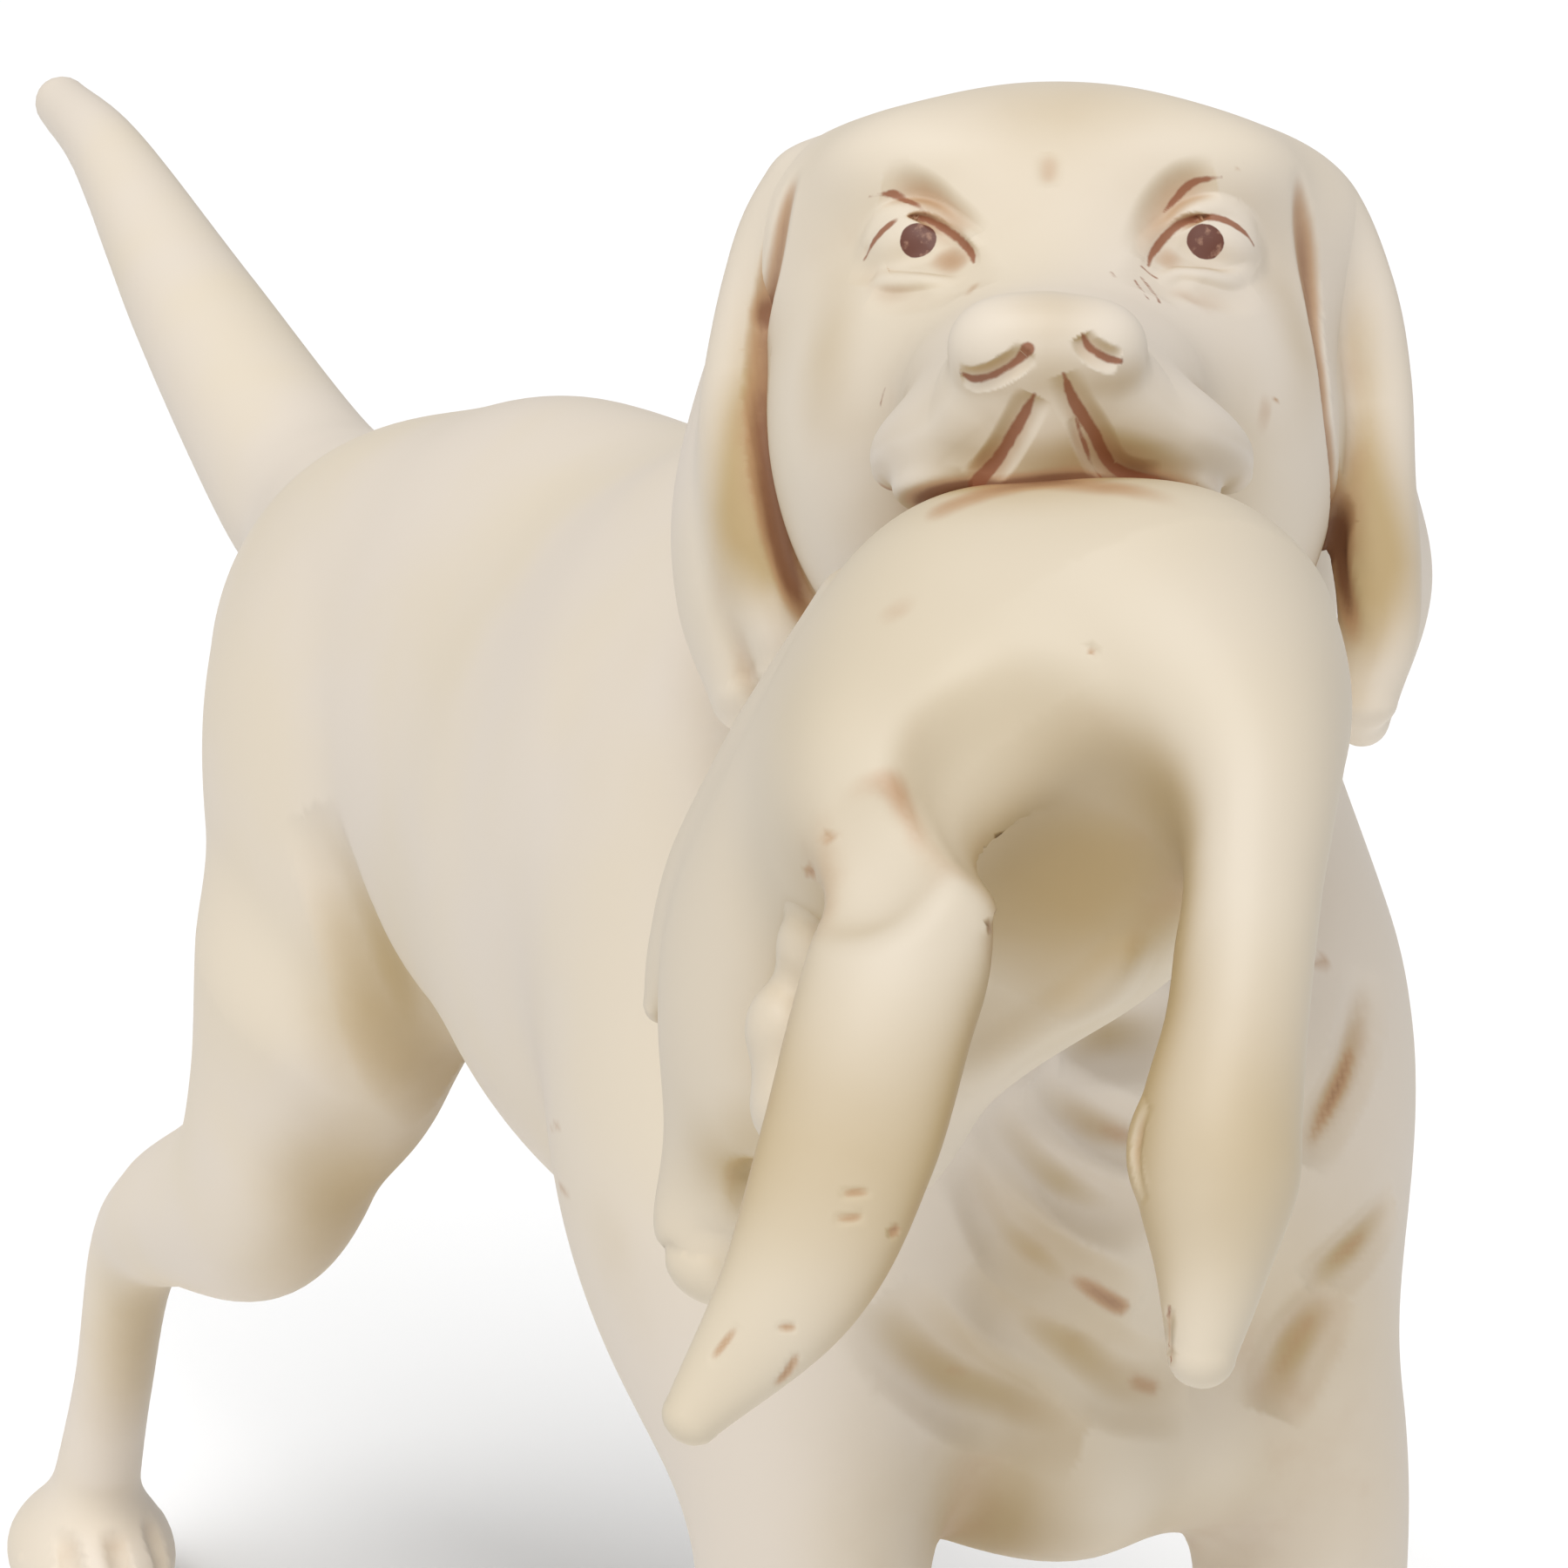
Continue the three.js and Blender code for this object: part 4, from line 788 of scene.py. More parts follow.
QUILLS = [
    [(-9.5, 45.8, -61.3), (-8.6, 45.7, -61.3), (-7.8, 45.5, -61.1)],
    [(-9.2, 45.8, -60.1), (-7.5, 45.5, -59.9)],
    [(-6.7, 44.8, -62.1), (-6.1, 44.4, -61.7)],
    [(-12.3, 45.7, -67), (-11.1, 45.6, -66.9)],
    [(-14.1, 45.6, -66.8), (-14.9, 45.5, -67.9), (-15.6, 45.4, -68.9)],
    [(-11.1, 45.2, -68.1), (-11.6, 44.8, -69.2), (-12.3, 44.6, -70)],
    [(-11.4, 30, -39.4), (-10.3, 31.6, -39.1)],
    [(-12.6, 28.4, -41.6), (-11.8, 29.2, -41.1)],
    [(2.9, 36.4, -30.4), (2.9, 36.4, -31.1)],
]
# Stains on the duck, with their width and strength. The last two lie in the hollow under the neck, where the
# brown is partly painted shade.
DUCK_STAINS = [
    ([(-8.4, 32, -27.4), (-7.2, 33, -28.8)], 2.2, 0.3),
    ([(-6.8, 41, -40.6), (-6.8, 41.8, -42.6)], 1.8, 0.3),
    ([(3.8, 33.9, -41), (5.6, 33, -42.6)], 3.2, 0.5),
    ([(0.6, 31.7, -44.1), (-0.4, 28.6, -47.5)], 4.5, 0.3),
]


def dished(clay, place, before, half, blend):
    """A shallow hollow: a lump is taken away that stands before the skin on the viewer's side."""
    return Taken(Lump(face_places(clay, [place])[0] + before * LOOK_BACK, half, HEAD), blend)


def duck_details(clay):
    steps = [
        Taken(roll(on_head, ARCH), 6),
        dished(clay, BREAST_VALLEY, 1.2, (3.2, 3, 5), 4),
        pressed(clay, BELLY_RIM, 2.4, -0.5),
        dished(clay, SHOULDER_DISH, 2.2, (3.5, 2.6, 4.2), 2.6),
        Taken(roll(on_head, REAR_NOTCH), 1.6),
        pressed(clay, MOUTH_STAIN, 2.2, 0, 0.65, 4),
        pressed(clay, WING_HOLLOW, 1.6, -0.14, 0.45),
        # Olive stain and painted shade in the hollow under the neck, a darker rear, and painted shade on the
        # hanging fronts of the neck and near wing
        stain_and_shade_washed(clay, CAVITY_STAIN_AND_SHADE, 6.5, 0.6),
        stain_and_shade_washed(clay, REAR, 6, 0.5),
        stain_and_shade_washed(clay, NECK_FRONT_SHADE, 10, 0.5),
        stain_and_shade_washed(clay, WING_FRONT_SHADE, 11, 0.5),
        pressed(clay, np.subtract(CHEEK, (0.2, 0, 0)), 1.6, -0.5),
        pressed(clay, CHEEK, 0.6, 0.25, 0.3),
        pressed(clay, BILL, 0.6, 0.3, 0.6),
    ]
    steps += [pressed(clay, rows, 0.45, 0.1, 0.6) for rows in QUILLS]
    return steps + [pressed(clay, rows, width, 0, stain) for rows, width, stain in DUCK_STAINS]


def duck_strokes(clay):
    return [Stroke(face_places(clay, BILL), np.full(len(BILL), 0.12))]


def far_wing_clay():
    return [Added(roll(on_duck, [
        (-11, -6, 6, 5, 2.6), (-16.2, -9.5, 14, 7, 2.5), (-20, -12.5, 20, 5.5, 2), (-22, -15, 25, 3.4, 1.6),
        (-23, -16.5, 28.5, 1.4, 1.1),
    ], HEAD_FORWARD + HEAD_SIDE * 0.4), 2)]


def feet_clay():
    webs = [(side, 4, hang, 2.1, 2.3, 2.7, 1.5) for side, hang in ((-12.2, 26), (-13.8, 30.5), (-13.4, 34.5))]
    shank = roll(on_duck, [(-8, -4, 24, 2), (-12.2, 3, 28, 1.5)])
    return lumps(on_duck, HEAD, webs) + [Added(shank, 1.5)]


# The dog's skin is finest where the photograph shows its face: middles and reaches of each halving
DOG_ZONES = [
    (on_head(0, 6, -6), 30),
    (on_dog(4, -76, 101), 24),
    (on_head(0, 13, -7.5), 19),
    (on_head(-8.8, 3, -1), 5.5),
    (on_head(8.8, 3, -1), 5.5),
    (on_head(0, 29, -14.5), 6.5),
]
DUCK_ZONES = [(on_head(-10, 45, -64), 10), (on_head(6.5, 43, -60), 6)]
# A worked-on piece's body is drawn in by this, so that the piece's skin passes just over it
SKIN_LAP = 0.04


# Parting planes, each a point and the direction of its far side
def plane(at, towards):
    return np.asarray(at, float), unit(towards)


NECK_JOINT = plane((0, -50, 152), (0, -0.61, 0.79))
TAIL_JOINT = plane((0, 93, 134), (0, 0.93, 0.37))
HIND_JOINT = plane((0, 0, 80), (0, 0, -1))
SOLES = plane((0, 0, 0), (0, 0, -1))
ARMPIT = {s: plane((s * 9, FORE_STAND, 76), (s * 0.66, 0, -0.75)) for s in SIDES}
DUCK_FRONT = plane(on_duck(0, 10.5, 19.5), HEAD_FORWARD * 0.85 - HEAD_UP * 0.52)
DUCK_MIDDLE = plane(on_duck(1.5, 0, 0), HEAD_SIDE)
DUCK_VENT = plane(on_duck(-16, -15, 38), -HEAD_SIDE * 0.45 - HEAD_UP * 0.89)
FORE_END = plane((0, -22, 0), (0, -1, 0))
HIND_END = plane((0, -22, 0), (0, 1, 0))
RUMP = plane((0, 40, 0), (0, 1, 0))
HALF = {s: plane((0, 0, 0), (s, 0, 0)) for s in SIDES}


def beyond(*parts):
    """A test of which places lie on the far side of every one of these parting planes."""
    def test(places):
        return np.all([(places - at) @ normal > 0 for at, normal in parts], 0)

    return test


def short_of(part):
    """A test of which places lie on the near side of a parting plane."""
    at, normal = part
    return lambda places: (places - at) @ normal < 0


def anywhere(places):
    return np.ones(len(places), bool)


# From clay to a mesh
def grown(clay, grain, within):
    """Polygons on the surface of the clay within some steps' box, from a grid that is filled only near it."""
    low = np.min([step.low for step in within], 0) - GRID_MARGIN * grain
    high = np.max([step.high for step in within], 0) + GRID_MARGIN * grain
    side = BLOCK * grain
    counts = np.ceil((high - low) / side).astype(int)
    blocks = np.stack(np.meshgrid(*[np.arange(n) for n in counts], indexing="ij"), -1).reshape(-1, 3)
    middles = (low + (blocks + 0.5) * side).astype(REAL)
    rough = distance_to(clay, middles, 2 * side)
    clip = BAND * grain
    grid = np.where(rough < 0, -clip, clip).astype(REAL).reshape(tuple(counts))
    for axis in range(3):
        grid = np.repeat(grid, BLOCK, axis=axis)
    inner = np.stack(np.meshgrid(*[np.arange(BLOCK)] * 3, indexing="ij"), -1).reshape(-1, 3)
    for block in blocks[np.abs(rough) < side * BLOCK_REACH]:
        cells = block * BLOCK + inner
        points = (low + (cells + 0.5) * grain).astype(REAL)
        d = sculpted(points, clay)
        grid[cells[:, 0], cells[:, 1], cells[:, 2]] = np.clip(d, -clip, clip)
    volume = openvdb.FloatGrid(clip)
    volume.copyFromArray(grid)
    points, triangles, quads = volume.convertToPolygons(0.0, 0.0)
    points = low + (np.asarray(points, float) + 0.5) * grain
    faces = [tuple(int(i) for i in face) for face in quads]
    faces += [tuple(int(i) for i in face) for face in triangles]
    return points, faces


def surface_near(clay, points, step=0.06):
    """Distance to the clay at each point, and the way out of it."""
    shifts = np.concatenate([np.zeros((1, 3)), np.eye(3) * step]).astype(REAL)

    def measure(patch):
        d = sculpted((patch + shifts[:, None]).reshape(-1, 3), clay).reshape(4, -1)
        d[1:] = (d[1:] - d[0]) / REAL(step)
        return d

    found = in_patches(points, measure, 4).astype(float)
    return found[:, 0], found[:, 1:]


def settled(clay, points, passes=2, most=0.6):
    """Points moved onto the surface of the clay."""
    points = points.copy()
    for _ in range(passes):
        d, slope = surface_near(clay, points)
        steep = np.maximum((slope * slope).sum(1), 0.2)
        move = -slope * (d / steep)[:, None]
        length = np.linalg.norm(move, axis=1)
        move *= np.minimum(1, most / np.maximum(length, 1e-9))[:, None]
        points += move
    return points


def vertices(mesh):
    flat = np.empty(len(mesh.vertices) * 3, REAL)
    mesh.vertices.foreach_get("co", flat)
    return flat.reshape(-1, 3).astype(float) / MM - STAND


def place(mesh, points):
    mesh.vertices.foreach_set("co", ((points + STAND) * MM).astype(REAL).ravel())
    mesh.update()


def face_centres(mesh):
    flat = np.empty(len(mesh.polygons) * 3, REAL)
    mesh.polygons.foreach_get("center", flat)
    return flat.reshape(-1, 3).astype(float) / MM - STAND


def pick(obj, chosen):
    """Selects these faces and nothing else, ready for edit mode."""
    bpy.ops.object.select_all(action="DESELECT")
    bpy.context.view_layer.objects.active = obj
    obj.select_set(True)
    bpy.context.tool_settings.mesh_select_mode = (False, False, True)
    mesh = obj.data
    mesh.vertices.foreach_set("select", np.zeros(len(mesh.vertices), bool))
    mesh.edges.foreach_set("select", np.zeros(len(mesh.edges), bool))
    mesh.polygons.foreach_set("select", chosen)


def edit(obj, test, operator, **settings):
    """Runs a mesh operator on the faces whose middles a test picks."""
    pick(obj, test(face_centres(obj.data)))
    bpy.ops.object.mode_set(mode="EDIT")
    operator(**settings)
    bpy.ops.object.mode_set(mode="OBJECT")


def clay_object(name, clay, grain, zones=(), within=None):
    """Makes a mesh of the clay round some of its steps, with its faces halved inside each zone."""
    points, faces = grown(clay, grain, within or clay)
    mesh = bpy.data.meshes.new(GLAZED + name)
    mesh.from_pydata(((points + STAND) * MM).tolist(), [], faces)
    obj = bpy.data.objects.new(GLAZED + name, mesh)
    bpy.context.collection.objects.link(obj)
    edit(obj, anywhere, bpy.ops.mesh.normals_make_consistent, inside=False)
    for middle, reach in zones:
        edit(obj, lambda places: np.linalg.norm(places - middle, axis=1) < reach,
             bpy.ops.mesh.subdivide, number_cuts=1)
    place(mesh, settled(clay, vertices(mesh)))
    return obj


def part_at(obj, part, near=anywhere):
    """Cuts the faces that a test picks along a parting plane and leaves both sides in place."""
    at, normal = part
    edit(obj, near, bpy.ops.mesh.bisect,
         plane_co=Vector((at + STAND) * MM), plane_no=Vector(normal), threshold=1e-7)


def lift_off(obj, test, name):
    """Takes the faces that a test picks away as a piece of their own."""
    edit(obj, test, bpy.ops.mesh.separate, type="SELECTED")
    piece = next(o for o in bpy.context.selected_objects if o is not obj)
    piece.name = GLAZED + name
    piece.data.name = GLAZED + name
    return piece


def close_cuts(obj):
    """Fills every open rim with one flat face, and notes which faces these are."""
    obj.data["first_cap"] = len(obj.data.polygons)
    pick(obj, np.zeros(len(obj.data.polygons), bool))
    bpy.context.tool_settings.mesh_select_mode = (False, True, False)
    bpy.ops.object.mode_set(mode="EDIT")
    bpy.ops.mesh.select_non_manifold(extend=False)
    bpy.ops.mesh.edge_face_add()
    bpy.ops.object.mode_set(mode="OBJECT")


def finish_skin(obj, clay, surroundings, strokes, material, slot):
    """Gives a piece its smooth normals, stain, paint and glaze, and hides the CAD node that it stands for."""
    mesh = obj.data
    points = vertices(mesh)
    normals = surface_near(clay, points)[1]
    normals /= np.maximum(np.linalg.norm(normals, axis=1), 1e-9)[:, None]
    closed = shelter(points, normals, [clay, *surroundings])
    store(mesh, "stain", held(STAIN_SHARES, closed[:2]) + stain_and_shade_left(points, clay, Crease))
    # The olive layer is patina mixed with painted shade from the wide hollows and from the shade washes
    store(mesh, "patina", held(PATINA_AND_SHADE_SHARES, closed[1:]) + stain_and_shade_left(points, clay, StainAndShadeWash))
    store(mesh, "paint", paint_at(points, strokes))
    store(mesh, "iris", iris_at(points))
    corner_vertex = np.empty(len(mesh.loops), np.int32)
    mesh.loops.foreach_get("vertex_index", corner_vertex)
    corner_normal = normals[corner_vertex]
    first_cap = mesh.get("first_cap", len(mesh.polygons))
    for face in mesh.polygons[first_cap:]:
        corner_normal[list(face.loop_indices)] = face.normal
    mesh.shade_smooth()
    mesh.normals_split_custom_set(corner_normal.tolist())
    mesh.materials.clear()
    mesh.materials.append(material)
    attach(obj, "root")
    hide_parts(obj.name.removeprefix(GLAZED))


def store(mesh, name, values):
    layer = mesh.attributes.get(name) or mesh.attributes.new(name, "FLOAT", "POINT")
    layer.data.foreach_set("value", np.asarray(values, REAL))


# How far out of the skin a hollow is felt: in creases, in folds, and between the forms. Stain is held by
# these shares of the first two, and the olive layer by these shares of the last two; the wide reach between
# the forms lays patina and painted shade together.
SHELTER_REACHES = (0.7, 2.4, 12.0)
STAIN_SHARES = (0.4, 0.4)
PATINA_AND_SHADE_SHARES = (0.4, 0.6)
PAINT_REACH = 1.0


def shelter(points, normals, shapes):
    """How much clay closes in each place on the skin, from 0 in the open to 1, for each reach."""
    closed = []
    for reach in SHELTER_REACHES:
        out = points + normals * reach
        room = np.full(len(points), FAR)
        for clay in shapes:
            room = np.minimum(room, distance_to(clay, out, reach))
        closed.append(np.clip(1 - room / reach, 0, 1))
    return closed


def held(shares, closed):
    return shares[0] * closed[0] + shares[1] * closed[1]


def stain_and_shade_left(points, clay, kind):
    """The strongest mark at each place that one kind of step leaves: brown stain from creases, olive stain
    and painted shade from washes.
    """
    creases = [step for step in clay if type(step) is kind and step.stain]

    def measure(patch):
        stain = np.zeros(len(patch), REAL)
        for crease in creases:
            if apart(crease, patch.min(0), patch.max(0)) <= 0:
                stain = np.maximum(stain, REAL(crease.stain) * crease.profile(patch))
        return stain

    return in_patches(points, measure)[:, 0]


def paint_at(points, strokes):
    """How far each place lies from the edge of the nearest brush stroke, negative on it."""
    def measure(patch):
        edge = np.full(len(patch), REAL(PAINT_REACH))
        for stroke in strokes:
            if apart(stroke, patch.min(0), patch.max(0)) <= PAINT_REACH:
                edge = np.minimum(edge, stroke.edge(patch))
        return edge

    return in_patches(points, measure)[:, 0]


def iris_at(points):
    """How far each place lies outside the nearer iris."""
    gaps = [np.linalg.norm(points - place_at, axis=1) for place_at in iris_places()]
    return np.minimum(np.minimum(*gaps) - IRIS_RADIUS, PAINT_REACH)


# Glaze
def linear(code):
    """The linear colour of an sRGB hex code."""
    channels = [int(code[i:i + 2], 16) / 255 for i in (1, 3, 5)]
    return tuple(c / 12.92 if c <= 0.04045 else ((c + 0.055) / 1.055) ** 2.4 for c in channels) + (1.0,)


def add_node(tree, kind, settings=None, **links):
    """Adds a shader node with its settings. A link is an output socket, and any other value is a constant."""
    node = tree.nodes.new(kind)
    for key, value in (settings or {}).items():
        setattr(node, key, value)
    for key, value in links.items():
        numbered = key[0] == "i" and key[1:].isdigit()
        socket = node.inputs[int(key[1:]) if numbered else key.replace("_", " ")]
        if isinstance(value, bpy.types.NodeSocket):
            tree.links.new(value, socket)
        else:
            socket.default_value = value
    return node


def glazed_porcelain(name, ivory, shade):
    """Slip-cast porcelain: a satin ivory glaze, with brown stain left in the hollows and in brush strokes,
    and olive patina mixed with painted shade.
    """
    material = bpy.data.materials.new(name)
    material.use_nodes = True
    tree = material.node_tree
    tree.nodes.clear()

    def mixed(share, first, second):
        colours = {"i6": first, "i7": second}
        return add_node(tree, "ShaderNodeMix", {"data_type": "RGBA"}, i0=share, **colours).outputs[2]

    def ramp(value, start, end, low=0.0, high=1.0):
        levels = {"i0": value, "i1": start, "i2": end, "i3": low, "i4": high}
        return add_node(tree, "ShaderNodeMapRange", {"interpolation_type": "SMOOTHSTEP"}, **levels).outputs[0]

    def noise(scale, detail):
        return add_node(tree, "ShaderNodeTexNoise", Vector=place_at, Scale=scale, Detail=detail).outputs[0]

    def attribute(name):
        return add_node(tree, "ShaderNodeAttribute", {"attribute_name": name}).outputs["Fac"]

    def roughened(value, grain, by):
        """A value that a noise raises and lowers by up to half of an amount."""
        def maths(operation, **links):
            return add_node(tree, "ShaderNodeMath", {"operation": operation}, **links).outputs[0]

        return maths("ADD", i0=value, i1=maths("MULTIPLY_ADD", i0=grain, i1=by, i2=-by / 2))

    place_at = add_node(tree, "ShaderNodeTexCoord").outputs["Object"]
    # Noise scales are per metre. Clouds 30 mm wide are where the fired body is warmer.
    body = mixed(ramp(noise(35.0, 2.0), 0.35, 0.7, 0.0, 0.7), linear(ivory), linear(shade))
    # Stain is wiped off the open skin, and what is left is brown in creases. The olive layer is patina in
    # wide hollows mixed with painted shade in the folds, between the forms, on the duck's hanging fronts and
    # on the skull and nose tops.
    wipe = noise(110.0, 4.0)
    patina = roughened(attribute("patina"), wipe, 0.16)
    body = mixed(ramp(patina, 0.08, 0.9, 0.0, 0.85), body, linear("#ad935f"))
    stain = roughened(attribute("stain"), noise(300.0, 4.0), 0.3)
    body = mixed(ramp(stain, 0.2, 0.75, 0.0, 0.8), body, linear("#b08862"))
    body = mixed(ramp(stain, 0.62, 1.15, 0.0, 0.85), body, linear("#7f5236"))
    # Brush strokes break up where the bristles skipped
    bristle = noise(1500.0, 3.0)
    line = ramp(roughened(attribute("paint"), bristle, 0.22), 0.09, -0.1, 0.0, 0.9)
    body = mixed(line, body, linear("#8a5030"))
    iris = ramp(roughened(attribute("iris"), bristle, 0.16), 0.05, -0.05)
    speck = mixed(ramp(bristle, 0.52, 0.72), linear("#63382a"), linear("#936c58"))
    body = mixed(iris, body, speck)
    # The glaze pooled over a hand-finished surface, so it is faintly uneven
    bump = add_node(tree, "ShaderNodeBump", Height=noise(420.0, 2.0), Strength=0.05, Distance=0.0002)
    shader = add_node(tree, "ShaderNodeBsdfPrincipled", Base_Color=body, Roughness=0.58, IOR=1.45,
                      Normal=bump.outputs[0], Coat_Weight=0.06, Coat_Roughness=0.3)
    output = add_node(tree, "ShaderNodeOutputMaterial")
    tree.links.new(shader.outputs[0], output.inputs[0])
    return material


# Sizes, colours and lights that a user would change
class DogSettings(bpy.types.PropertyGroup):
    grain: bpy.props.FloatProperty(
        name="Grain", description="Size of the faces on the dog's body, in millimetres", default=1.0, min=0.4)
    ear_grain: bpy.props.FloatProperty(
        name="Ear grain", description="Size of the faces on the ears, in millimetres", default=0.5, min=0.2)
    ivory: bpy.props.StringProperty(
        name="Ivory", description="Glaze on open surfaces, sRGB", default="#dacfc1")


class DuckSettings(bpy.types.PropertyGroup):
    grain: bpy.props.FloatProperty(
        name="Grain", description="Size of the faces on the duck, in millimetres", default=0.5, min=0.2)
    ivory: bpy.props.StringProperty(
        name="Ivory", description="Glaze on open surfaces, sRGB", default="#d2c6b3")


class StudioSettings(bpy.types.PropertyGroup):
    lens: bpy.props.FloatProperty(
        name="Lens", description="Focal length on a 36 mm sensor", default=94.16, unit="CAMERA")
    softbox: bpy.props.FloatProperty(name="Softbox", description="Strength of the softbox", default=2.45)
    room: bpy.props.FloatProperty(name="Room", description="Strength of the white room's light", default=0.41)


def glaze(name, ivory, shade):
    return bpy.data.materials.get(name) or glazed_porcelain(name, ivory, shade)


def dog_glaze():
    return glaze("stained_ivory_porcelain", bpy.context.scene.dog_settings.ivory, "#dacdb6")


def duck_glaze():
    return glaze("stained_duck_porcelain", bpy.context.scene.duck_settings.ivory, "#cdbfa5")


def plain_dog():
    clay = torso_clay()
    for s in SIDES:
        clay += hindleg_clay(s)
    for s in SIDES:
        clay += foreleg_clay(s)
    return clay + tail_clay() + head_clay()


@lru_cache
def dog_clay():
    plain = plain_dog()
    return plain + coat_details(plain) + face_details(plain) + [ear_groove(plain, s) for s in SIDES]


@lru_cache
def duck_clay():
    plain = duck_body_clay()
    return plain + duck_details(plain)


@lru_cache
def iris_places():
    return face_places(dog_clay(), [IRIS[s] for s in SIDES])


def worked_onto(own, body, blend, reach=2.5):
    """A piece's own clay with its edges worked onto a body, whose skin passes just over what joins them."""
    joined = [Added(step.shape, blend if step is own[0] else step.blend) for step in own]
    return body + [Lowered(SKIN_LAP, body)] + joined + [Kept(Union(own), reach)]


def finish_castings(pieces, *finish):
    for piece in pieces:
        close_cuts(piece)
        finish_skin(piece, *finish)


class FIGURINE_OT_dog(bpy.types.Operator):
    """Sculpts the dog as one skin and parts it into torso, head, legs and tail"""
    bl_idname = "figurine.dog"
    bl_label = "Dog"

    def execute(self, context):
        clay = dog_clay()
        body = clay_object("dog_torso", clay, context.scene.dog_settings.grain, DOG_ZONES)
        part_at(body, SOLES)
        edit(body, beyond(SOLES), bpy.ops.mesh.delete, type="FACE")
        part_at(body, NECK_JOINT)
        part_at(body, TAIL_JOINT, beyond(RUMP))
        part_at(body, HIND_JOINT, beyond(HIND_END))
        for s in SIDES:
            part_at(body, ARMPIT[s], beyond(FORE_END, HALF[s]))
        pieces = [body]
        pieces.append(lift_off(body, beyond(NECK_JOINT), "dog_head"))
        pieces.append(lift_off(body, beyond(TAIL_JOINT), "tail"))
        for s, side in SIDE_NAMES.items():
            pieces.append(lift_off(body, beyond(FORE_END, HALF[s], ARMPIT[s]), f"foreleg_{side}"))
            pieces.append(lift_off(body, beyond(HIND_END, HALF[s], HIND_JOINT), f"hindleg_{side}"))
        around = [ear_clay(-1), ear_clay(1), duck_body_clay()]
        finish_castings(pieces, clay, around, face_strokes(clay), dog_glaze(), "dog_glaze")
        return {"FINISHED"}


class FIGURINE_OT_ears(bpy.types.Operator):
    """Sculpts the two ear flaps and works them onto the head"""
    bl_idname = "figurine.ears"
    bl_label = "Ears"

    def execute(self, context):
        body = dog_clay()
        for s, side in SIDE_NAMES.items():
            own = ear_clay(s)
            # Olive stain and painted shade low on the ear
            ear_stain_and_shade = StainAndShadeWash([on_head(*row) for row in EAR_STAIN_AND_SHADE[s]], 7, 0.6)
            clay = worked_onto(own, body, 1.6) + [ear_groove(body + own, s), ear_stain_and_shade]
            ear = clay_object(f"ear_{side}", clay, context.scene.dog_settings.ear_grain, within=own)
            finish_skin(ear, clay, [duck_body_clay()], [], dog_glaze(), "dog_glaze")
        return {"FINISHED"}


class FIGURINE_OT_duck(bpy.types.Operator):
    """Sculpts the duck as one skin and parts it into body, neck with head, near wing and tail"""
    bl_idname = "figurine.duck"
    bl_label = "Duck"

    def execute(self, context):
        clay = duck_clay()
        body = clay_object("duck_body", clay, context.scene.duck_settings.grain, DUCK_ZONES)
        part_at(body, DUCK_FRONT)
        part_at(body, DUCK_VENT, short_of(DUCK_FRONT))
        part_at(body, DUCK_MIDDLE, beyond(DUCK_FRONT))
        pieces = [
            body,
            lift_off(body, beyond(DUCK_FRONT, DUCK_MIDDLE), "duck_neck_head"),
            lift_off(body, beyond(DUCK_FRONT), "duck_near_wing"),
            lift_off(body, beyond(DUCK_VENT), "duck_tail"),
        ]
        around = [head_clay(), far_wing_clay(), feet_clay()]
        finish_castings(pieces, clay, around, duck_strokes(clay), duck_glaze(), "duck_glaze")
        return {"FINISHED"}


class FIGURINE_OT_duck_parts(bpy.types.Operator):
    """Sculpts the duck's far wing and its webbed feet, and works them onto its body"""
    bl_idname = "figurine.duck_parts"
    bl_label = "Far Wing and Feet"

    def execute(self, context):
        body = duck_clay()
        for name, own in (("duck_far_wing", far_wing_clay()), ("duck_feet", feet_clay())):
            clay = worked_onto(own, body, 0.8)
            piece = clay_object(name, clay, context.scene.duck_settings.grain, within=own)
            finish_skin(piece, clay, [head_clay()], [], duck_glaze(), "duck_glaze")
        return {"FINISHED"}


# Studio: the floor's side and middle in metres, and the softbox's spread in radians and the way it shines
FLOOR_SIDE = 16
FLOOR_AT = (0, 3, 0)
SOFTBOX_SPREAD = 0.7
SOFTBOX_WAY = Vector((0.4, 0.45, -1))


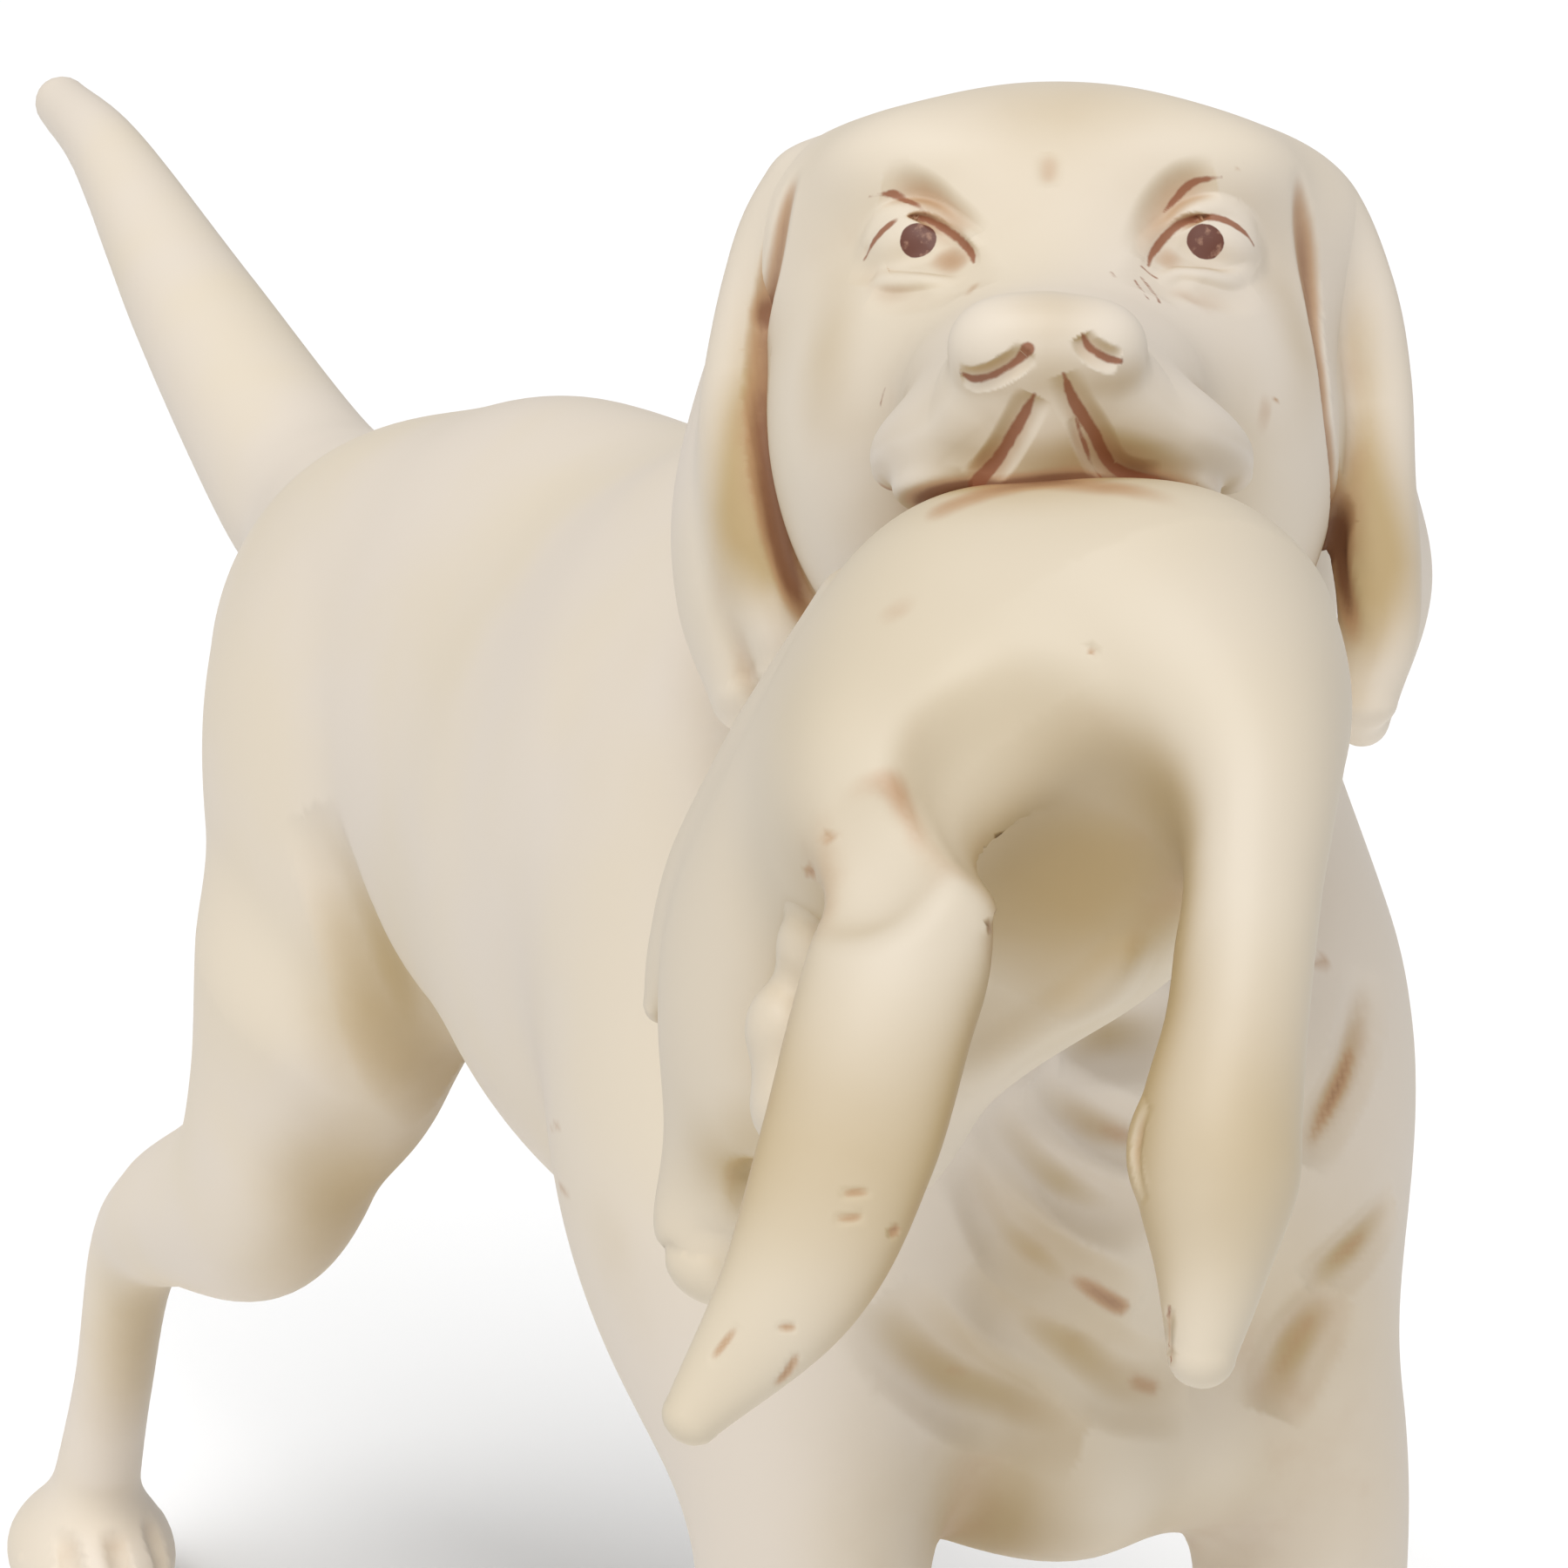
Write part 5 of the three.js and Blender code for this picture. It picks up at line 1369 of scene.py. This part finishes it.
class FIGURINE_OT_studio(bpy.types.Operator):
    """Sets the pale floor, the softbox, the white room and the camera"""
    bl_idname = "figurine.studio"
    bl_label = "Studio"

    def execute(self, context):
        settings = context.scene.studio_settings
        bpy.ops.object.select_all(action="DESELECT")
        bpy.ops.mesh.primitive_plane_add(size=FLOOR_SIDE, location=FLOOR_AT)
        floor = context.active_object
        floor.name = "studio_floor"
        bpy.ops.object.transform_apply(location=True, rotation=True, scale=True)
        paper = bpy.data.materials.new("white_paper_sweep")
        paper.use_nodes = True
        shader = paper.node_tree.nodes["Principled BSDF"]
        shader.inputs["Base Color"].default_value = linear("#ffffff")
        shader.inputs["Roughness"].default_value = 0.9
        floor.data.materials.append(paper)
        floor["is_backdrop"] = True
        world = bpy.data.worlds.new("soft_white_room")
        context.scene.world = world
        world.use_nodes = True
        background = world.node_tree.nodes["Background"]
        background.inputs["Color"].default_value = linear("#ffffff")
        background.inputs["Strength"].default_value = settings.room
        key = bpy.data.lights.new("large_softbox", "SUN")
        key.energy = settings.softbox
        key.angle = SOFTBOX_SPREAD
        lamp = bpy.data.objects.new("large_softbox", key)
        lamp.rotation_euler = SOFTBOX_WAY.to_track_quat("-Z", "Y").to_euler()
        context.collection.objects.link(lamp)
        camera = bpy.data.cameras.new("photo_camera")
        camera.sensor_width = 36
        camera.lens = settings.lens
        camera.clip_start = 0.01
        holder = bpy.data.objects.new("photo_camera", camera)
        context.collection.objects.link(holder)
        turn = Matrix((VIEW_RIGHT, VIEW_BACK.cross(VIEW_RIGHT), VIEW_BACK)).transposed().to_4x4()
        holder.matrix_world = Matrix.Translation((VIEWER + STAND) * MM) @ turn
        context.scene.camera = holder
        context.scene.view_settings.view_transform = "Standard"
        return {"FINISHED"}


OPERATORS = (FIGURINE_OT_dog, FIGURINE_OT_ears, FIGURINE_OT_duck, FIGURINE_OT_duck_parts, FIGURINE_OT_studio)
SETTINGS = {"dog_settings": DogSettings, "duck_settings": DuckSettings, "studio_settings": StudioSettings}


class FIGURINE_PT_panel(bpy.types.Panel):
    """Lists the steps that make the figurine, with their sizes, colours and lights"""
    bl_label = "Porcelain Retriever"
    bl_idname = "FIGURINE_PT_panel"
    bl_space_type = "VIEW_3D"
    bl_region_type = "UI"
    bl_category = "Figurine"

    def draw(self, context):
        for kind in OPERATORS:
            self.layout.operator(kind.bl_idname)
        for name, group in SETTINGS.items():
            for key in group.__annotations__:
                self.layout.prop(getattr(context.scene, name), key)


CLASSES = (*SETTINGS.values(), *OPERATORS, FIGURINE_PT_panel)


def register():
    for kind in CLASSES:
        bpy.utils.register_class(kind)
    for name, group in SETTINGS.items():
        setattr(bpy.types.Scene, name, bpy.props.PointerProperty(type=group))


def unregister():
    for name in SETTINGS:
        delattr(bpy.types.Scene, name)
    for kind in reversed(CLASSES):
        bpy.utils.unregister_class(kind)


def plain(box):
    return [[float(value) for value in corner] for corner in box]


def main():
    register()
    bpy.ops.figurine.dog()
    bpy.ops.figurine.ears()
    bpy.ops.figurine.duck()
    bpy.ops.figurine.duck_parts()
    bpy.ops.figurine.studio()
    {"cad": plain(cad_bounds), "visual": plain(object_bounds())}


if __name__ == "__main__":
    main()
